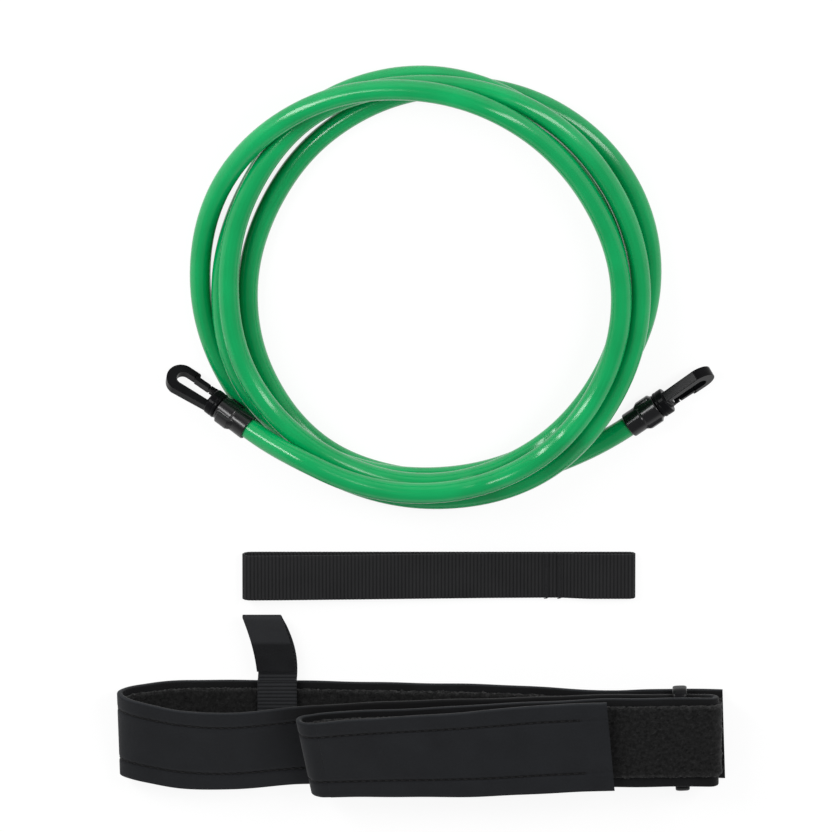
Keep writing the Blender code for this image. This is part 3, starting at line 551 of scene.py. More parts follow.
def plastic_finish(name, gloss):
    """Glossy black nylon with the faint orange peel of a mould and a little handling haze."""
    made, shading = surface(name, IOR=1.49, Specular_IOR_Level=gloss)
    peel = shading.noise(shading.place(), 420.0, 2.0)
    haze = shading.noise(shading.place(), 90.0, 3.0)
    colour = shading.ramp(haze, (0.35, paint(11, 11, 12)), (0.70, paint(18, 18, 20)))
    shading.dress(colour, 0.16 + haze * 0.16, shading.relief(peel, 0.35, 0.04 * MM))
    return made


black_nylon = plastic_finish("black_nylon", 0.45)
clip_frames = {side: clip_matrix(**place) for side, place in CLIPS.items()}
for side, clip_frame in clip_frames.items():
    mesh = grid_mesh(f"{side}_collar_sleeve", collar_surface(), close_along=True)
    mesh.transform(clip_frame @ Matrix.Rotation(math.radians(LATCH_TURN[side]), 4, "Z"))
    piece(f"{side}_collar_sleeve", mesh, black_nylon, "coil", [f"{side}_collar"])


# Hooks and gates. The hook is one moulding of stem, flange, back bar, round nose and barbed
# tip, and the gate is a slim sprung bar between two ears. All their edges are soft, and the
# back bar has a ridge along its outer face. Their nylon is duller than the collars'.
WELD_REACH = 0.002 * MM
VOXEL = 0.16 * MM
SOFTENING = 5


def moulded(node, clip_frame, name):
    """A copy of a solid with soft edges: rebuilt as an even skin in the clip's own frame,
    then each point is moved towards the middle of its neighbours a few times."""
    made = bpy.data.objects.new(name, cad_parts[node].data.copy())
    bpy.context.scene.collection.objects.link(made)
    made.data.transform(clip_frame.inverted())
    weld = made.modifiers.new("weld", "WELD")
    weld.merge_threshold = WELD_REACH
    skin = made.modifiers.new("skin", "REMESH")
    skin.mode = "VOXEL"
    skin.voxel_size = VOXEL
    soften = made.modifiers.new("soften", "SMOOTH")
    soften.iterations = SOFTENING
    bpy.context.view_layer.update()
    graph = bpy.context.evaluated_depsgraph_get()
    mesh = bpy.data.meshes.new_from_object(made.evaluated_get(graph))
    bpy.data.objects.remove(made)
    mesh.transform(clip_frame)
    mesh.shade_smooth()
    mesh.name = name
    return mesh


hook_nylon = plastic_finish("hook_nylon", 0.06)
for side, clip_frame in clip_frames.items():
    for part in ("hook", "gate"):
        node = f"{side}_{part}"
        mesh = moulded(node, clip_frame, f"{node}_moulding")
        piece(f"{node}_moulding", mesh, hook_nylon, f"{side}_snap_{part}", [node])


# Inner pieces of the collars. A plastic stopper sits on the tube's end, and a steel washer
# in the stem's groove keeps the hook in its collar.
def steel_finish():
    """Plain stamped steel, lightly brushed."""
    made, shading = surface("stamped_steel", Metallic=1.0)
    grain = shading.noise(shading.place(), 2200.0, 3.0)
    colour = shading.ramp(grain, (0.3, paint(176, 176, 178)), (0.7, paint(202, 202, 204)))
    shading.dress(colour, 0.3 + grain * 0.15)
    return made


stamped_steel = steel_finish()
for side in CLIPS:
    for node, finish in (("tube_stopper", black_nylon), ("swivel_retainer", stamped_steel)):
        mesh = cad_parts[f"{side}_{node}"].data
        mesh.materials.clear()
        mesh.materials.append(finish)


# Anchor strap. A length of 25 mm ribbed black webbing sewn into one flat closed loop, with a
# bar of zigzag stitches across it that leaves a small loop at the right end.
STRAP_LEFT, STRAP_RIGHT = -95.1 * MM, 113.3 * MM
STRAP_Y = -3.0 * MM
STRAP_WIDTH = 25.0 * MM
WEBBING = 1.5 * MM
STRAP_OPENING, SMALL_LOOP_OPENING = 4.6 * MM, 2.2 * MM
TOUCH_GAP = 0.3 * MM
BARTACK_X = (64.4 * MM, 73.8 * MM)
SMALL_LOOP_RISE = ((14.0 * MM, 1.0), (2.0 * MM, 0.16))
WIDE_LOOP_RISE = ((30.0 * MM, 0.12), (95.0 * MM, 0.62), (139.0 * MM, 0.95))
STRAP_SOFTNESS = 1.6 * MM
RIB_PITCH = 1.9 * MM
RIB_HEIGHT, RIB_BULGE = 0.16 * MM, 0.006
SAMPLES_PER_RIB = 6
WEBBING_EDGE, WEBBING_EDGE_HEIGHT = 0.35 * MM, 0.3 * MM
YARN_PITCH, YARN_SLANT = 0.62 * MM, 0.25


def arc(centre, radius, start, end, count):
    """Points on an arc, angles in degrees."""
    angle = np.radians(np.linspace(start, end, count))
    return np.column_stack([centre[0] + radius * np.cos(angle), centre[1] + radius * np.sin(angle)])


def strap_path():
    """The strap's middle line seen from its edge: along and height, once round."""
    low = WEBBING / 2
    closed = low + WEBBING + TOUCH_GAP
    wide = low + WEBBING + STRAP_OPENING
    small = low + WEBBING + SMALL_LOOP_OPENING
    left_radius, right_radius = (wide - low) / 2, (small - low) / 2
    left_x = STRAP_LEFT + WEBBING / 2 + left_radius
    right_x = STRAP_RIGHT - WEBBING / 2 - right_radius
    top = [(BARTACK_X[1] + away, closed + part * (small - closed)) for away, part in SMALL_LOOP_RISE]
    top += [(BARTACK_X[1], closed), (BARTACK_X[0], closed)]
    top += [(BARTACK_X[0] - away, closed + part * (wide - closed)) for away, part in WIDE_LOOP_RISE]
    right_end = arc((right_x, low + right_radius), right_radius, -90, 90, 24)
    left_end = arc((left_x, low + left_radius), left_radius, 90, 270, 36)
    return np.concatenate([right_end, top, left_end, right_end[:1]])


def closed_softened(path, spacing, softness):
    """A closed path, evenly spaced, smoothed by a bell-shaped average all the way round."""
    length = np.linalg.norm(np.diff(path, axis=0), axis=1).sum()
    count = SAMPLES_PER_RIB * round(length / spacing / SAMPLES_PER_RIB)
    path = resampled(path, length / (count + 1))[:-1]
    lag = np.fft.fftfreq(len(path), 1 / len(path)) * length / len(path)
    weight = np.exp(-0.5 * (lag / softness) ** 2)
    blur = np.fft.fft(weight / weight.sum())
    return np.column_stack([np.fft.ifft(np.fft.fft(column) * blur).real for column in path.T])


def side_normal(path, closed=False):
    """Unit normal to the left of a path in the plane of its first two columns."""
    if closed:
        way = np.roll(path[:, :2], -1, axis=0) - np.roll(path[:, :2], 1, axis=0)
    else:
        way = np.gradient(path[:, :2], axis=0)
    way = way / np.linalg.norm(way, axis=1, keepdims=True)
    return np.column_stack([-way[:, 1], way[:, 0]])


def band_section(width, thickness, rounding, top_count, under_count):
    """A rounded rectangle as across and out: the top from left to right, the right edge, the
    underside back again and the left edge. Also the distance round it."""
    half, thick = width / 2, thickness / 2
    edge = np.radians(np.linspace(90, -90, 7))[1:-1]
    top = np.linspace(-half + rounding, half - rounding, top_count)
    under = np.linspace(half - rounding, -half + rounding, under_count)
    across = [top, half - rounding + rounding * np.cos(edge), under]
    across += [-half + rounding - rounding * np.cos(edge)]
    out = [np.full(top_count, thick), thick * np.sin(edge), np.full(under_count, -thick)]
    out += [-thick * np.sin(edge)]
    across, out = np.concatenate(across), np.concatenate(out)
    step = np.hypot(np.diff(across, append=across[:1]), np.diff(out, append=out[:1]))
    return across, out, np.concatenate([[0.0], np.cumsum(step)])


def rib_profile(along, pitch):
    """Height of the ribs, 0 to 1: round backs with narrow valleys, sqrt of |sin|."""
    return np.sqrt(np.abs(np.sin(math.pi * along / pitch)))


def webbing_finish(name, dark, light, pitch, plain_from=None, dark_from=None):
    """Ribbed tape: each rib is a row of fine slanted yarns, with painted shade in the valleys
    between ribs. From plain_from on it is a smooth tape, pale at first and darker from
    dark_from on."""
    made, shading = surface(name, Specular_IOR_Level=0.12, Sheen_Weight=0.03, Sheen_Roughness=0.5)
    place = shading.flat_place()
    u, v, _ = shading.axes(place)
    # tone of the ribs, dark in their valleys as painted shade; it also shapes the yarn relief
    rib = (u * (math.pi / pitch)).sine().size()
    yarn = ((v + u * YARN_SLANT) * (2 * math.pi / YARN_PITCH)).sine() * 0.5 + 0.5
    loose = shading.noise(place, 1500.0, 3.0)
    patch = shading.noise(place, 60.0, 2.0)
    if plain_from is not None:
        plain = u.worked("GREATER_THAN", plain_from)
        darker = ((u - dark_from) / (2 * MM)).clipped()
        rib = rib * (1.0 - plain) + plain * (0.78 - darker * 0.68)
    tone = rib ** 0.7 * 0.45 + yarn * 0.12 + loose * 0.25 + patch * 0.18
    relief = shading.relief(yarn * rib * 0.6 + loose * 0.4, 0.8, 0.12 * MM)
    shading.dress(shading.ramp(tone, (0.18, dark), (0.85, light)), 0.62 + loose * 0.2, relief)
    return made


def webbing_surface(path, middle, normal, width, along, pitch, rib_height, fade=1.0):
    """A ribbed band: path + across * Y + out * normal, where out grows by the rib's height on
    both faces and the edges bulge a little at each rib. fade lowers the ribs along the path."""
    across, out, around = band_section(width, WEBBING - 2 * rib_height, WEBBING_EDGE, 16, 16)
    rib = rib_profile(along, pitch)[:, None]
    lift = out + np.sign(out) * (rib_height * fade) * rib * (np.abs(out) > WEBBING_EDGE_HEIGHT)
    spread = across * (1 + RIB_BULGE * rib)
    x = path[:, :1] + normal[:, :1] * lift
    z = path[:, 1:2] + normal[:, 1:2] * lift
    return np.stack([x, middle[:, None] + spread, z], axis=2), around


strap_line = closed_softened(strap_path(), RIB_PITCH / SAMPLES_PER_RIB, STRAP_SOFTNESS)
strap_length = np.linalg.norm(np.diff(strap_line, axis=0, append=strap_line[:1]), axis=1).sum()
strap_along = np.linspace(0, strap_length, len(strap_line) + 1)
strap_pitch = strap_length / (len(strap_line) // SAMPLES_PER_RIB)
points, around = webbing_surface(
    strap_line, np.full(len(strap_line), STRAP_Y), side_normal(strap_line, True), STRAP_WIDTH,
    strap_along[:-1], strap_pitch, RIB_HEIGHT)
strap_webbing = webbing_finish("black_webbing", paint(3, 3, 4), paint(44, 44, 45), strap_pitch)
mesh = grid_mesh("strap_webbing", points, strap_along, around, close_along=True)
strap = piece("strap_webbing", mesh, strap_webbing, "anchor", ["anchor_strap"])


# Bar of stitches on the anchor strap: two rows of dense zigzag in black thread, side by side
# across the webbing, with the thread's ends standing out at the edges.
THREAD_RADIUS = 0.24 * MM
ZIGZAG_X, ZIGZAG_HALF_WIDTH = (65.6 * MM, 72.6 * MM), 1.0 * MM
ZIGZAG_LENGTH = STRAP_WIDTH + 0.4 * MM
ZIGZAG_STEP, ZIGZAG_DIP = 0.42 * MM, 0.25 * MM
BAR_HEIGHT = 3.62 * MM


def thread_finish(name, dark, light):
    """Sewing thread, a little shinier than the cloth that it holds."""
    made, shading = surface(name, Specular_IOR_Level=0.3)
    twist = shading.noise(shading.place(), 2600.0, 2.0)
    colour = shading.ramp(twist, (0.3, dark), (0.75, light))
    shading.dress(colour, 0.5 + twist * 0.2, shading.relief(twist, 0.6, 0.1 * MM))
    return made


def zigzag(x):
    """One row of zigzag across the strap: along flips from side to side at every step, and
    the thread dips at either side of the row."""
    count = round(ZIGZAG_LENGTH / ZIGZAG_STEP)
    y = STRAP_Y + np.linspace(-0.5, 0.5, count) * ZIGZAG_LENGTH
    side = np.where(np.arange(count) % 2, ZIGZAG_HALF_WIDTH, -ZIGZAG_HALF_WIDTH)
    line = softened(np.column_stack([x + side, y, np.full(count, BAR_HEIGHT)]), 0.35 * MM, 0.12 * MM)
    line[:, 2] -= ZIGZAG_DIP * np.abs((line[:, 0] - x) / ZIGZAG_HALF_WIDTH) ** 4
    return line


strap_thread = thread_finish("strap_thread", paint(14, 14, 15), paint(44, 44, 46))
rows = [zigzag(x) for x in ZIGZAG_X]
shortest = min(len(row) for row in rows)
points = np.stack([rings_round(row[:shortest], THREAD_RADIUS, 6) for row in rows])
mesh = grid_mesh("strap_bar_stitches", points)
piece("strap_bar_stitches", mesh, strap_thread, "anchor", ["anchor_bartack"])


# Waist belt. A 50 mm band of 3 mm neoprene faced with fine knit, folded over itself in a flat
# Z. Its plain face shows on the outside, with two rows of stitches that hold the pile tape.
BELT_WIDTH = 50.0 * MM
NEOPRENE = 3.0 * MM
# the belt's middle line from its lower end, in mm: along, height and place of its far edge,
# then how much further right and how much lower its near edge lies
BELT_LOWER = (
    (159.8, 1.5, -67.8, 1.6, 0), (124, 1.5, -67.6, 1.4, 0), (104, 1.5, -68.4, 1.2, 0),
    (80, 1.5, -67.4, 1.0, 0), (46, 1.5, -65.5, 0.8, 0), (10, 1.5, -64.3, 0.8, 0),
    (-40, 1.5, -63.4, 0.9, 0), (-85, 1.5, -62.5, 1.1, 0), (-124, 1.5, -62.5, 1.3, 0))
BELT_LEFT_LOOP = (
    (-146, 4.0, -64.0, 1.3, 2.0), (-155.2, 7.7, -64.3, 1.3, 4.6), (-159.0, 14.1, -64.4, 1.3, 7.3),
    (-155.2, 20.5, -65.4, 1.2, 9.9), (-146, 24.4, -66.9, 1.2, 10.8))
BELT_MIDDLE = (
    (-126, 27.0, -70.1, 0.8, 12.2), (-100, 27.0, -71.6, 0.5, 13.6), (-64, 21.5, -69.9, 0, 12.4),
    (-25.7, 17.5, -68.9, 0, 9.0), (35.4, 14.0, -68.1, 0, 4.2), (93.8, 12.0, -66.9, 0, 0),
    (151.6, 11.9, -66.5, 0, 0))
BELT_UPPER = (
    (151.6, 19.9, -65.5, 0.4, 0), (115, 19.9, -66.0, 1.0, 0.2), (93.8, 20.0, -66.2, 2.0, 0.8),
    (46.4, 20.8, -68.3, 4.0, 5.5), (9.6, 22.0, -70.3, 6.0, 9.0), (-25.7, 24.2, -70.9, 7.5, 11.6),
    (-46, 26.3, -71.4, 8.2, 13.8), (-56, 28.0, -72.3, 8.3, 15.0))
BELT_FOLD_TOP = (-56, 38.1, -73.2, 8.3, 15.3)
BELT_FOLD_END = (-52.5, 37.65, -73.2, 8.3, 15.3)
BELT_TAIL = (
    (-52.0, 37.6, -73.2, 8.3, 15.3), (-32.5, 35.0, -72.2, 8.0, 12.6), (-11.4, 33.0, -71.4, 7.5, 10.2),
    (9.6, 31.2, -70.6, 7.0, 7.6), (30.7, 29.8, -69.4, 6.4, 4.8), (46.4, 28.8, -68.3, 5.8, 3.0),
    (62, 28.0, -67.1, 5.2, 1.4), (99.7, 26.7, -65.5, 4.4, 0.9))
BELT_STEP, BELT_SOFTNESS = 0.5 * MM, 1.2 * MM
BELT_SAMPLE = 2
BELT_EDGE = 0.9 * MM
EDGE_WAVE, EDGE_WAVE_LENGTHS = 0.25 * MM, (9.1 * MM, 23.0 * MM)
STITCH_LINES = (-14.2 * MM, 15.8 * MM)
STITCH_START, STITCH_STOP, STITCH_GAP = 6.0 * MM, 14.8 * MM, 0.5 * MM
STITCH_PITCH = 4.2 * MM
STITCH_LENGTH = 3.0 * MM
STITCH_RADIUS, STITCH_DIP = 0.38 * MM, 0.45 * MM
STITCH_VALLEY, VALLEY_WIDTH = 0.8 * MM, 0.9 * MM
KNIT_PITCH = 0.55 * MM
# where painted shade darkens the far edge under the upper fold: from and to along
# the belt, and how fast it fades
FOLD_SHADE = ((405 * MM, 30 * MM), (648 * MM, -12 * MM))
FOLD_SHADE_WIDTH = 8.0 * MM


def half_round(low, high, bulge):
    """The half-round of a fold from one row of the belt to another, to the right or the left."""
    low, high = np.array(low, float), np.array(high, float)
    radius = (high[1] - low[1]) / 2
    turn = np.linspace(-math.pi / 2, math.pi / 2, 13)[1:-1]
    rows = low + (turn[:, None] / math.pi + 0.5) * (high - low)
    rows[:, 0] += bulge * radius * np.cos(turn)
    rows[:, 1] = low[1] + radius * (1 + np.sin(turn))
    return rows


def smooth_rows(rows):
    """Rows read smoothly, ten for each listed one."""
    return smooth_values(rows, np.linspace(0, len(rows) - 1, 10 * len(rows)))


def belt_path(rows):
    """A fine, eased path of the belt in metres, kept off the floor on both edges."""
    rows = np.array(rows) * MM
    flat = np.column_stack([rows[:, :2], np.zeros(len(rows)), rows[:, 2:]])
    path = softened(flat, BELT_STEP, BELT_SOFTNESS)[:, [0, 1, 3, 4, 5]]
    path[:, 1] = np.maximum(path[:, 1], NEOPRENE / 2)
    path[:, 4] = np.minimum(path[:, 4], path[:, 1] - NEOPRENE / 2)
    return path


def belt_lines():
    """The middle lines of the belt's fixed length and of its free end."""
    lower = smooth_rows(BELT_LOWER + BELT_LEFT_LOOP + BELT_MIDDLE)
    right = half_round(BELT_MIDDLE[-1], BELT_UPPER[0], 1)
    left = half_round(BELT_UPPER[-1], BELT_FOLD_TOP, -1)
    upper = smooth_rows(BELT_UPPER)
    body = belt_path(np.concatenate([lower, right, upper, left, [BELT_FOLD_TOP, BELT_FOLD_END]]))
    tail = belt_path(smooth_rows(BELT_TAIL))
    body[-1] = tail[0] = (body[-1] + tail[0]) / 2
    return [np.concatenate([line[:-1:BELT_SAMPLE], line[-1:]]) for line in (body, tail)]


def across_belt(x, z, far, lean, drop, across):
    """Points to the side of the belt's middle line: its near edge lies further right than its
    far edge by lean and lower by drop. part runs from 0 at the far edge to 1 at the near one."""
    part = 0.5 - across / BELT_WIDTH
    y = far - part * np.sqrt(BELT_WIDTH ** 2 - drop ** 2)
    return np.stack(np.broadcast_arrays(x + (part - 0.5) * lean, y, z - part * drop), axis=-1)


def layer_surface(path, across, out):
    """A band on a slanting path: path + out * normal, then across it. across and out may
    change along the path."""
    normal = side_normal(path)
    x, z, far, lean, drop = (column[:, None] for column in path.T)
    return across_belt(x + normal[:, :1] * out, z + normal[:, 1:2] * out, far, lean, drop, across)


def path_length(path):
    """Distance along a path of along and height."""
    return np.concatenate([[0.0], np.cumsum(np.hypot(*np.diff(path[:, :2], axis=0).T))])


def neoprene_surface(path):
    """The band with a shallow valley along each row of stitches, pinched at every stitch."""
    across, out, around = band_section(BELT_WIDTH, NEOPRENE, BELT_EDGE, 52, 12)
    along = path_length(path)
    pinch = 0.75 + 0.25 * np.cos(2 * math.pi * along / STITCH_PITCH)[:, None]
    row = np.minimum(*(np.abs(across - line) for line in STITCH_LINES))
    valley = np.exp(-(row / VALLEY_WIDTH) ** 2) * (out > NEOPRENE / 2.01)
    short, long = EDGE_WAVE_LENGTHS
    wave = EDGE_WAVE * np.sin(along / short) * np.sin(along / long + 1.3)
    spread = across + wave[:, None] * (np.abs(across) > BELT_WIDTH / 2 - 2 * MM)
    return layer_surface(path, spread, out - STITCH_VALLEY * valley * pinch), along, around


def stitch_copies(path, line, start, end):
    """Stitches laid along one row: each is a bent capsule, thin at its ends, that dips into
    the neoprene. Returned as (copies, rows, columns, 3)."""
    along = path_length(path)
    middle = np.arange(start + STITCH_PITCH / 2, end, STITCH_PITCH)
    part = np.linspace(-0.5, 0.5, 7)
    place = middle[:, None] + part * STITCH_LENGTH
    x, z, far, lean, drop = (np.interp(place, along, column)[..., None] for column in path.T)
    normal = side_normal(path)
    nx, nz = (np.interp(place, along, column)[..., None] for column in normal.T)
    radius = STITCH_RADIUS * np.sqrt(1 - (2 * part * 0.97) ** 2)
    turn = np.linspace(0, 2 * math.pi, 7)[:-1]
    rise = NEOPRENE / 2 - STITCH_VALLEY * 0.75 + STITCH_RADIUS * 0.5 - STITCH_DIP * (2 * part) ** 4
    out = rise[:, None] + radius[:, None] * np.sin(turn)
    across = line + radius[:, None] * np.cos(turn)
    return across_belt(x + nx * out, z + nz * out, far, lean, drop, across)


def neoprene_finish(name, sewn_to):
    """Charcoal knit over foam: a matt face of fine loops in staggered rows, with painted shade
    along each row of stitches and a painted highlight on the cut edges. The face that lies
    inside is darker, partly its lining and partly painted shade, and painted shade darkens
    the far edge under the upper fold."""
    made, shading = surface(name, Specular_IOR_Level=0.18, Sheen_Weight=0.10, Sheen_Roughness=0.45)
    place = shading.flat_place()
    u, v, _ = shading.axes(place)
    pitch = 2 * math.pi / KNIT_PITCH
    knit = (u * pitch).sine() * (v * pitch + (u * pitch * 0.5).sine() * 1.4).sine()
    loose = shading.noise(place, 900.0, 3.0)
    cloud = shading.noise(place, 45.0, 3.0)
    rows = [(v - (BELT_WIDTH / 2 - BELT_EDGE + line)).size() for line in STITCH_LINES]
    # painted shade in the stitch valleys: darker the nearer a row of stitches
    painted_seam_shade = (1.0 - rows[0].worked("MINIMUM", rows[1]) / VALLEY_WIDTH).positive()
    painted_seam_shade *= u.worked("LESS_THAN", sewn_to)
    # the inside face is darker: partly its own lining, partly painted shade
    inside = v.worked("GREATER_THAN", BELT_WIDTH + 1.5 * MM)
    # painted highlight along the cut edges
    painted_rim_highlight = (1.0 - (v - BELT_WIDTH + 1.0 * MM).size() / (0.8 * MM)).positive()
    # painted shade on the far strip of the middle layer, where it lies under the upper fold
    painted_fold_shade = v.worked("GREATER_THAN", BELT_WIDTH - FOLD_SHADE_WIDTH) * (1.0 - inside)
    for place_along, fade in FOLD_SHADE:
        painted_fold_shade *= ((u - place_along) / fade).clipped()
    tone = knit * 0.10 + loose * 0.45 + cloud * 0.45 + painted_rim_highlight * 0.30
    tone = tone - painted_seam_shade * 0.75 - inside * 0.42 - painted_fold_shade * 0.7
    colour = shading.ramp(
        tone, (0.0, paint(6, 6, 7)), (0.28, paint(20, 21, 24)), (0.72, paint(32, 34, 37)),
        (1.0, paint(50, 52, 55)))
    shading.dress(colour, 0.74 + loose * 0.15, shading.relief(knit * 0.5 + loose * 0.5, 0.5, 0.1 * MM))
    return made


belt_line, tail_line = belt_lines()
points, along, around = neoprene_surface(belt_line)
mesh = grid_mesh("belt_neoprene", points, along, around)
belt_length = float(along[-1])
charcoal_neoprene = neoprene_finish("charcoal_neoprene", belt_length)
belt = piece("belt_neoprene", mesh, charcoal_neoprene, "belt", ["belt_band"])
points, along, around = neoprene_surface(tail_line)
mesh = grid_mesh("tail_neoprene", points, along, around)
tail_length = float(along[-1])
tail_neoprene = neoprene_finish("tail_neoprene", tail_length - STITCH_STOP)
tail = piece("tail_neoprene", mesh, tail_neoprene, None, ["belt_tail"])
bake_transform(tail)

black_thread = thread_finish("black_thread", paint(4, 4, 5), paint(16, 16, 17))
stop = belt_length - STITCH_GAP
copies = [stitch_copies(belt_line, line, STITCH_START, stop) for line in STITCH_LINES]
mesh = grid_mesh("belt_stitches", np.concatenate(copies))
piece("belt_stitches", mesh, black_thread, "belt")
stop = tail_length - STITCH_STOP
copies = [stitch_copies(tail_line, line, STITCH_GAP, stop) for line in STITCH_LINES]
mesh = grid_mesh("tail_stitches", np.concatenate(copies))
tail_stitches = piece("tail_stitches", mesh, black_thread, None)
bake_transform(tail_stitches)


# Pile tape. A 40 mm tape of brushed loops covers the belt's other face, and a patch of hook
# tape under the free end holds it down.
PILE = 1.7 * MM
PILE_WIDTH = 40.0 * MM
PILE_SHIFT = 1.2 * MM
PILE_FUZZ, PILE_EDGE = 0.42 * MM, 0.5 * MM
PILE_FACE_MIDDLE = 1.5 * PILE_WIDTH + 0.6 * MM
SELVAGE_START = PILE_WIDTH / 2 - 2.2 * MM
HOOK_PATCH_LENGTH = 36.0 * MM
HOOK_TAPE, HOOK_FUZZ = 1.5 * MM, 0.15 * MM
rng = np.random.default_rng(7)


def fuzz(rows, columns):
    """Heights of brushed loops, about -1 to 1: random numbers, each averaged with the next."""
    rough = rng.standard_normal((rows, columns))
    return 0.6 * rough + 0.25 * np.roll(rough, 1, axis=0) + 0.25 * np.roll(rough, 1, axis=1)


def pile_surface(path, thickness, roughness):
    """A tape on the belt's inner face, seated on the neoprene, with a fuzzy outer side: its
    points are moved outwards and sideways by random heights."""
    across, out, around = band_section(PILE_WIDTH, thickness, PILE_EDGE, 8, 50)
    lift = np.where(out < -thickness / 4, fuzz(len(path), len(out)), 0.0)
    stray = np.where(np.abs(across) > PILE_WIDTH / 2 - 0.6 * MM, fuzz(len(path), len(out)), 0.0)
    seat = NEOPRENE / 2 + thickness / 2
    spread = PILE_SHIFT + across + roughness * stray
    return layer_surface(path, spread, out - seat + roughness * lift), around


def pile_finish(name, dark, light):
    """Brushed loops: dark and matt, mottled where they lie different ways."""
    made, shading = surface(name, Specular_IOR_Level=0.12, Sheen_Weight=0.08, Sheen_Roughness=0.6)
    loops = shading.noise(shading.place(), 1300.0, 4.0)
    clumps = shading.noise(shading.place(), 520.0, 3.0)
    side = (shading.axes(shading.flat_place())[1] - PILE_FACE_MIDDLE).size()
    selvage = ((side - SELVAGE_START) / (1.2 * MM)).clipped()
    tone = loops * 0.5 + clumps * 0.5 + selvage * 0.14
    colour = shading.ramp(tone, (0.40, dark), (0.60, light), (0.95, paint(60, 60, 60)))
    shading.dress(colour, 0.85 + loops * 0.12, shading.relief(tone, 1.0, 0.4 * MM))
    return made


black_pile = pile_finish("black_pile", paint(2, 2, 2), paint(25, 25, 25))
black_hooks = pile_finish("black_hook_tape", paint(10, 10, 10), paint(30, 30, 30))
points, around = pile_surface(belt_line, PILE, PILE_FUZZ)
mesh = grid_mesh("belt_pile_tape", points, path_length(belt_line), around)
piece("belt_pile_tape", mesh, black_pile, "belt", ["belt_pile"])
patch_start = tail_line[-1, 0] - HOOK_PATCH_LENGTH
under = tail_line[tail_line[:, 0] < patch_start - 1 * MM]
points, around = pile_surface(under, PILE, PILE_FUZZ)
mesh = grid_mesh("tail_pile_tape", points, path_length(under), around)
tail_pile = piece("tail_pile_tape", mesh, black_pile, None, ["belt_tail_pile"])
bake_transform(tail_pile)
held = tail_line[tail_line[:, 0] > patch_start]
points, around = pile_surface(held, HOOK_TAPE, HOOK_FUZZ)
mesh = grid_mesh("tail_hook_tape", points, path_length(held), around)
piece("tail_hook_tape", mesh, black_hooks, "belt_free_end", ["hook_patch"])


# Ring. A rectangular loop of moulded black plastic round the belt's middle layer, which it
# slides along.
RING_X, RING_Y = 137.1 * MM, -91.5 * MM
RING_TURN = 1.9
RING_LENGTH, RING_HEIGHT = 57.6 * MM, 13.0 * MM
RING_BAR, RING_DEPTH = 3.0 * MM, 7.6 * MM
RING_LOW = 5.0 * MM
RING_CORNER = 3.0 * MM
RING_SQUARENESS = 0.55


def ring_surface():
    """A rounded bar carried round a rectangle with round corners, in the YZ plane."""
    corner_y, corner_z = (
        (size - RING_BAR) / 2 - RING_CORNER for size in (RING_LENGTH, RING_HEIGHT))
    line = [
        arc((way_y * corner_y, way_z * corner_z), RING_CORNER, start, start + 90, 8)
        for way_y, way_z, start in ((1, -1, -90), (1, 1, 0), (-1, 1, 90), (-1, -1, 180))]
    line = resampled(np.concatenate(line + [line[0][:1]]), 0.8 * MM)[:-1]
    normal = side_normal(line, True)
    turn = np.linspace(0, 2 * math.pi, 24, endpoint=False)
    deep, out = (
        size / 2 * np.sign(wave) * np.abs(wave) ** RING_SQUARENESS
        for size, wave in ((RING_DEPTH, np.cos(turn)), (RING_BAR, np.sin(turn))))
    y, z = (line[:, k:k + 1] + normal[:, k:k + 1] * out for k in (0, 1))
    return np.stack(np.broadcast_arrays(deep, y, z), axis=2)


def ring_finish():
    """Moulded black plastic, rubbed a little by the belt."""
    made, shading = surface("ring_black", IOR=1.5, Specular_IOR_Level=0.12)
    rub = shading.noise(shading.place(), 240.0, 3.0)
    colour = shading.ramp(rub, (0.35, paint(12, 12, 13)), (0.7, paint(20, 20, 22)))
    shading.dress(colour, 0.18 + rub * 0.14, shading.relief(rub, 0.3, 0.05 * MM))
    return made


mesh = grid_mesh("ring_moulding", ring_surface(), close_along=True)
ring_place = Matrix.Translation((RING_X, RING_Y, RING_LOW + RING_HEIGHT / 2))
mesh.transform(ring_place @ Matrix.Rotation(math.radians(RING_TURN), 4, "Z"))
piece("ring_moulding", mesh, ring_finish(), "ring", ["belt_ring"])


# Tether. A doubled length of narrow webbing sewn inside the belt's far edge. It leans to the
# left and ends in a fold, and its upper layer is sewn down short of the belt.
TETHER_WIDTH = 20.6 * MM
TETHER_CORNER = 1.6 * MM
TETHER_SPREAD = 1.6 * MM
TETHER_X = -76.4 * MM
TETHER_LEAN, TETHER_BEND = -8.4 * MM, 1.7
TETHER_LOW = 5.0 * MM
TETHER_OPENING = 1.6 * MM
TETHER_ROOT_END = -80.5 * MM
TETHER_EDGE = -61.35 * MM
TETHER_TIP = -23.3 * MM
TETHER_UPPER_END = -55.3 * MM
TETHER_STITCH_Y = -45.0 * MM
TETHER_PITCH = 2.05 * MM
TETHER_ROOT_RIB, TETHER_LOOP_RIB, TETHER_RIB_FADE = 0.26 * MM, 0.22 * MM, 6.0 * MM
TETHER_RAISE = 0.75 * MM
TETHER_PLAIN = TETHER_TIP - TETHER_EDGE
TETHER_DARK = TETHER_PLAIN + 15.0 * MM


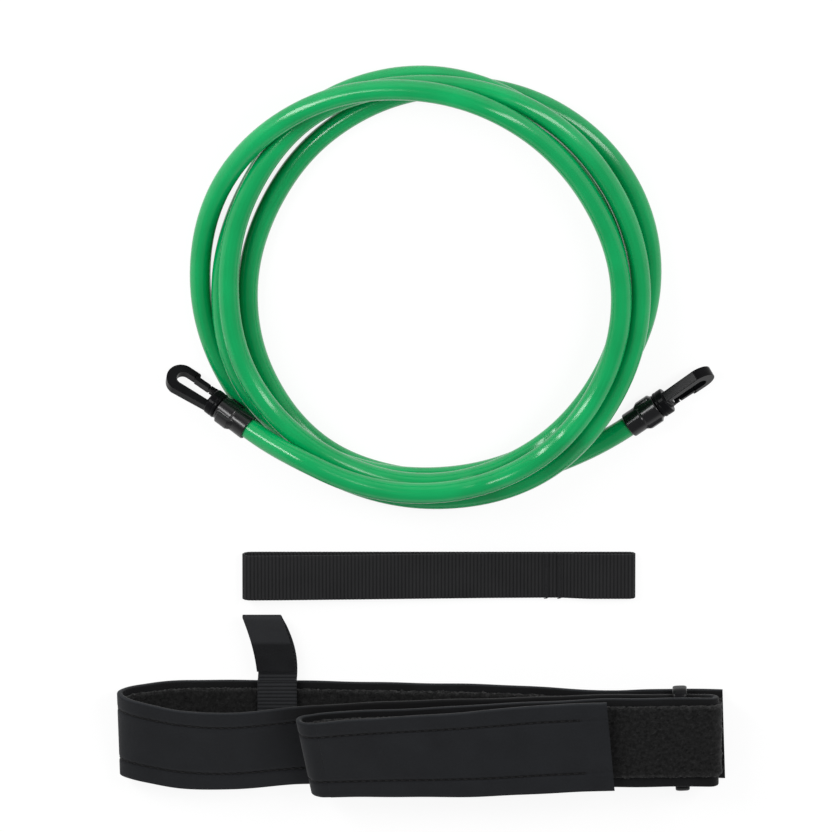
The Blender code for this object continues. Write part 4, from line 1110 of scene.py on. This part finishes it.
def tether_surface(line, rib_height, plain_from=math.inf):
    """Webbing along Y: a ribbed band whose middle leans to the left beyond the belt's edge,
    with round corners at its tip. Its lower layer lies a little further right, and its ribs
    fade out at plain_from."""
    line = resampled(line, TETHER_PITCH / SAMPLES_PER_RIB)
    along = path_length(line)
    part = np.clip((line[:, 0] - TETHER_EDGE) / (TETHER_TIP - TETHER_EDGE), 0.0, 1.0)
    ribbed = np.clip((plain_from - along) / TETHER_RIB_FADE, 0.0, 1.0)
    middle = TETHER_X + TETHER_LEAN * part ** TETHER_BEND
    middle += TETHER_SPREAD * np.sin(math.pi * part) * ribbed
    points, around = webbing_surface(
        line, middle, side_normal(line), TETHER_WIDTH, along, TETHER_PITCH, rib_height,
        ribbed[:, None])
    corner = np.clip((line[:, 0] - TETHER_TIP) / TETHER_CORNER + 1.0, 0.0, 1.0)
    inset = (TETHER_CORNER * (1.0 - np.sqrt(1.0 - corner ** 2)))[:, None]
    side = points[..., 1] - middle[:, None]
    points[..., 1] -= inset * np.sign(side) * (np.abs(side) > 0.4 * TETHER_WIDTH)
    return points[..., [1, 0, 2]], along, around


low = TETHER_LOW + WEBBING / 2
closed = low + WEBBING + TOUCH_GAP
radius = (WEBBING + TETHER_OPENING) / 2
tether_webbing = webbing_finish(
    "tether_webbing", paint(0, 0, 1), paint(50, 51, 53), TETHER_PITCH, TETHER_PLAIN, TETHER_DARK)
root_line = np.array([(y, low + TETHER_RAISE) for y in (TETHER_ROOT_END, TETHER_EDGE)])
points, along, around = tether_surface(root_line, TETHER_ROOT_RIB)
mesh = grid_mesh("tether_sewn_end", points, along, around)
piece("tether_sewn_end", mesh, tether_webbing, "belt", ["tether_root"])
fold = arc((TETHER_TIP - WEBBING / 2 - radius, low + radius), radius, -90, 90, 13)
upper = [(TETHER_STITCH_Y, closed), (TETHER_UPPER_END, closed)]
points, along, around = tether_surface(
    np.concatenate([[(TETHER_EDGE, low)], fold, upper]), TETHER_LOOP_RIB, TETHER_PLAIN)
mesh = grid_mesh("tether_loop_webbing", points, along, around)
loop = piece("tether_loop_webbing", mesh, tether_webbing, None, ["tether_loop"])
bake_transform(loop)
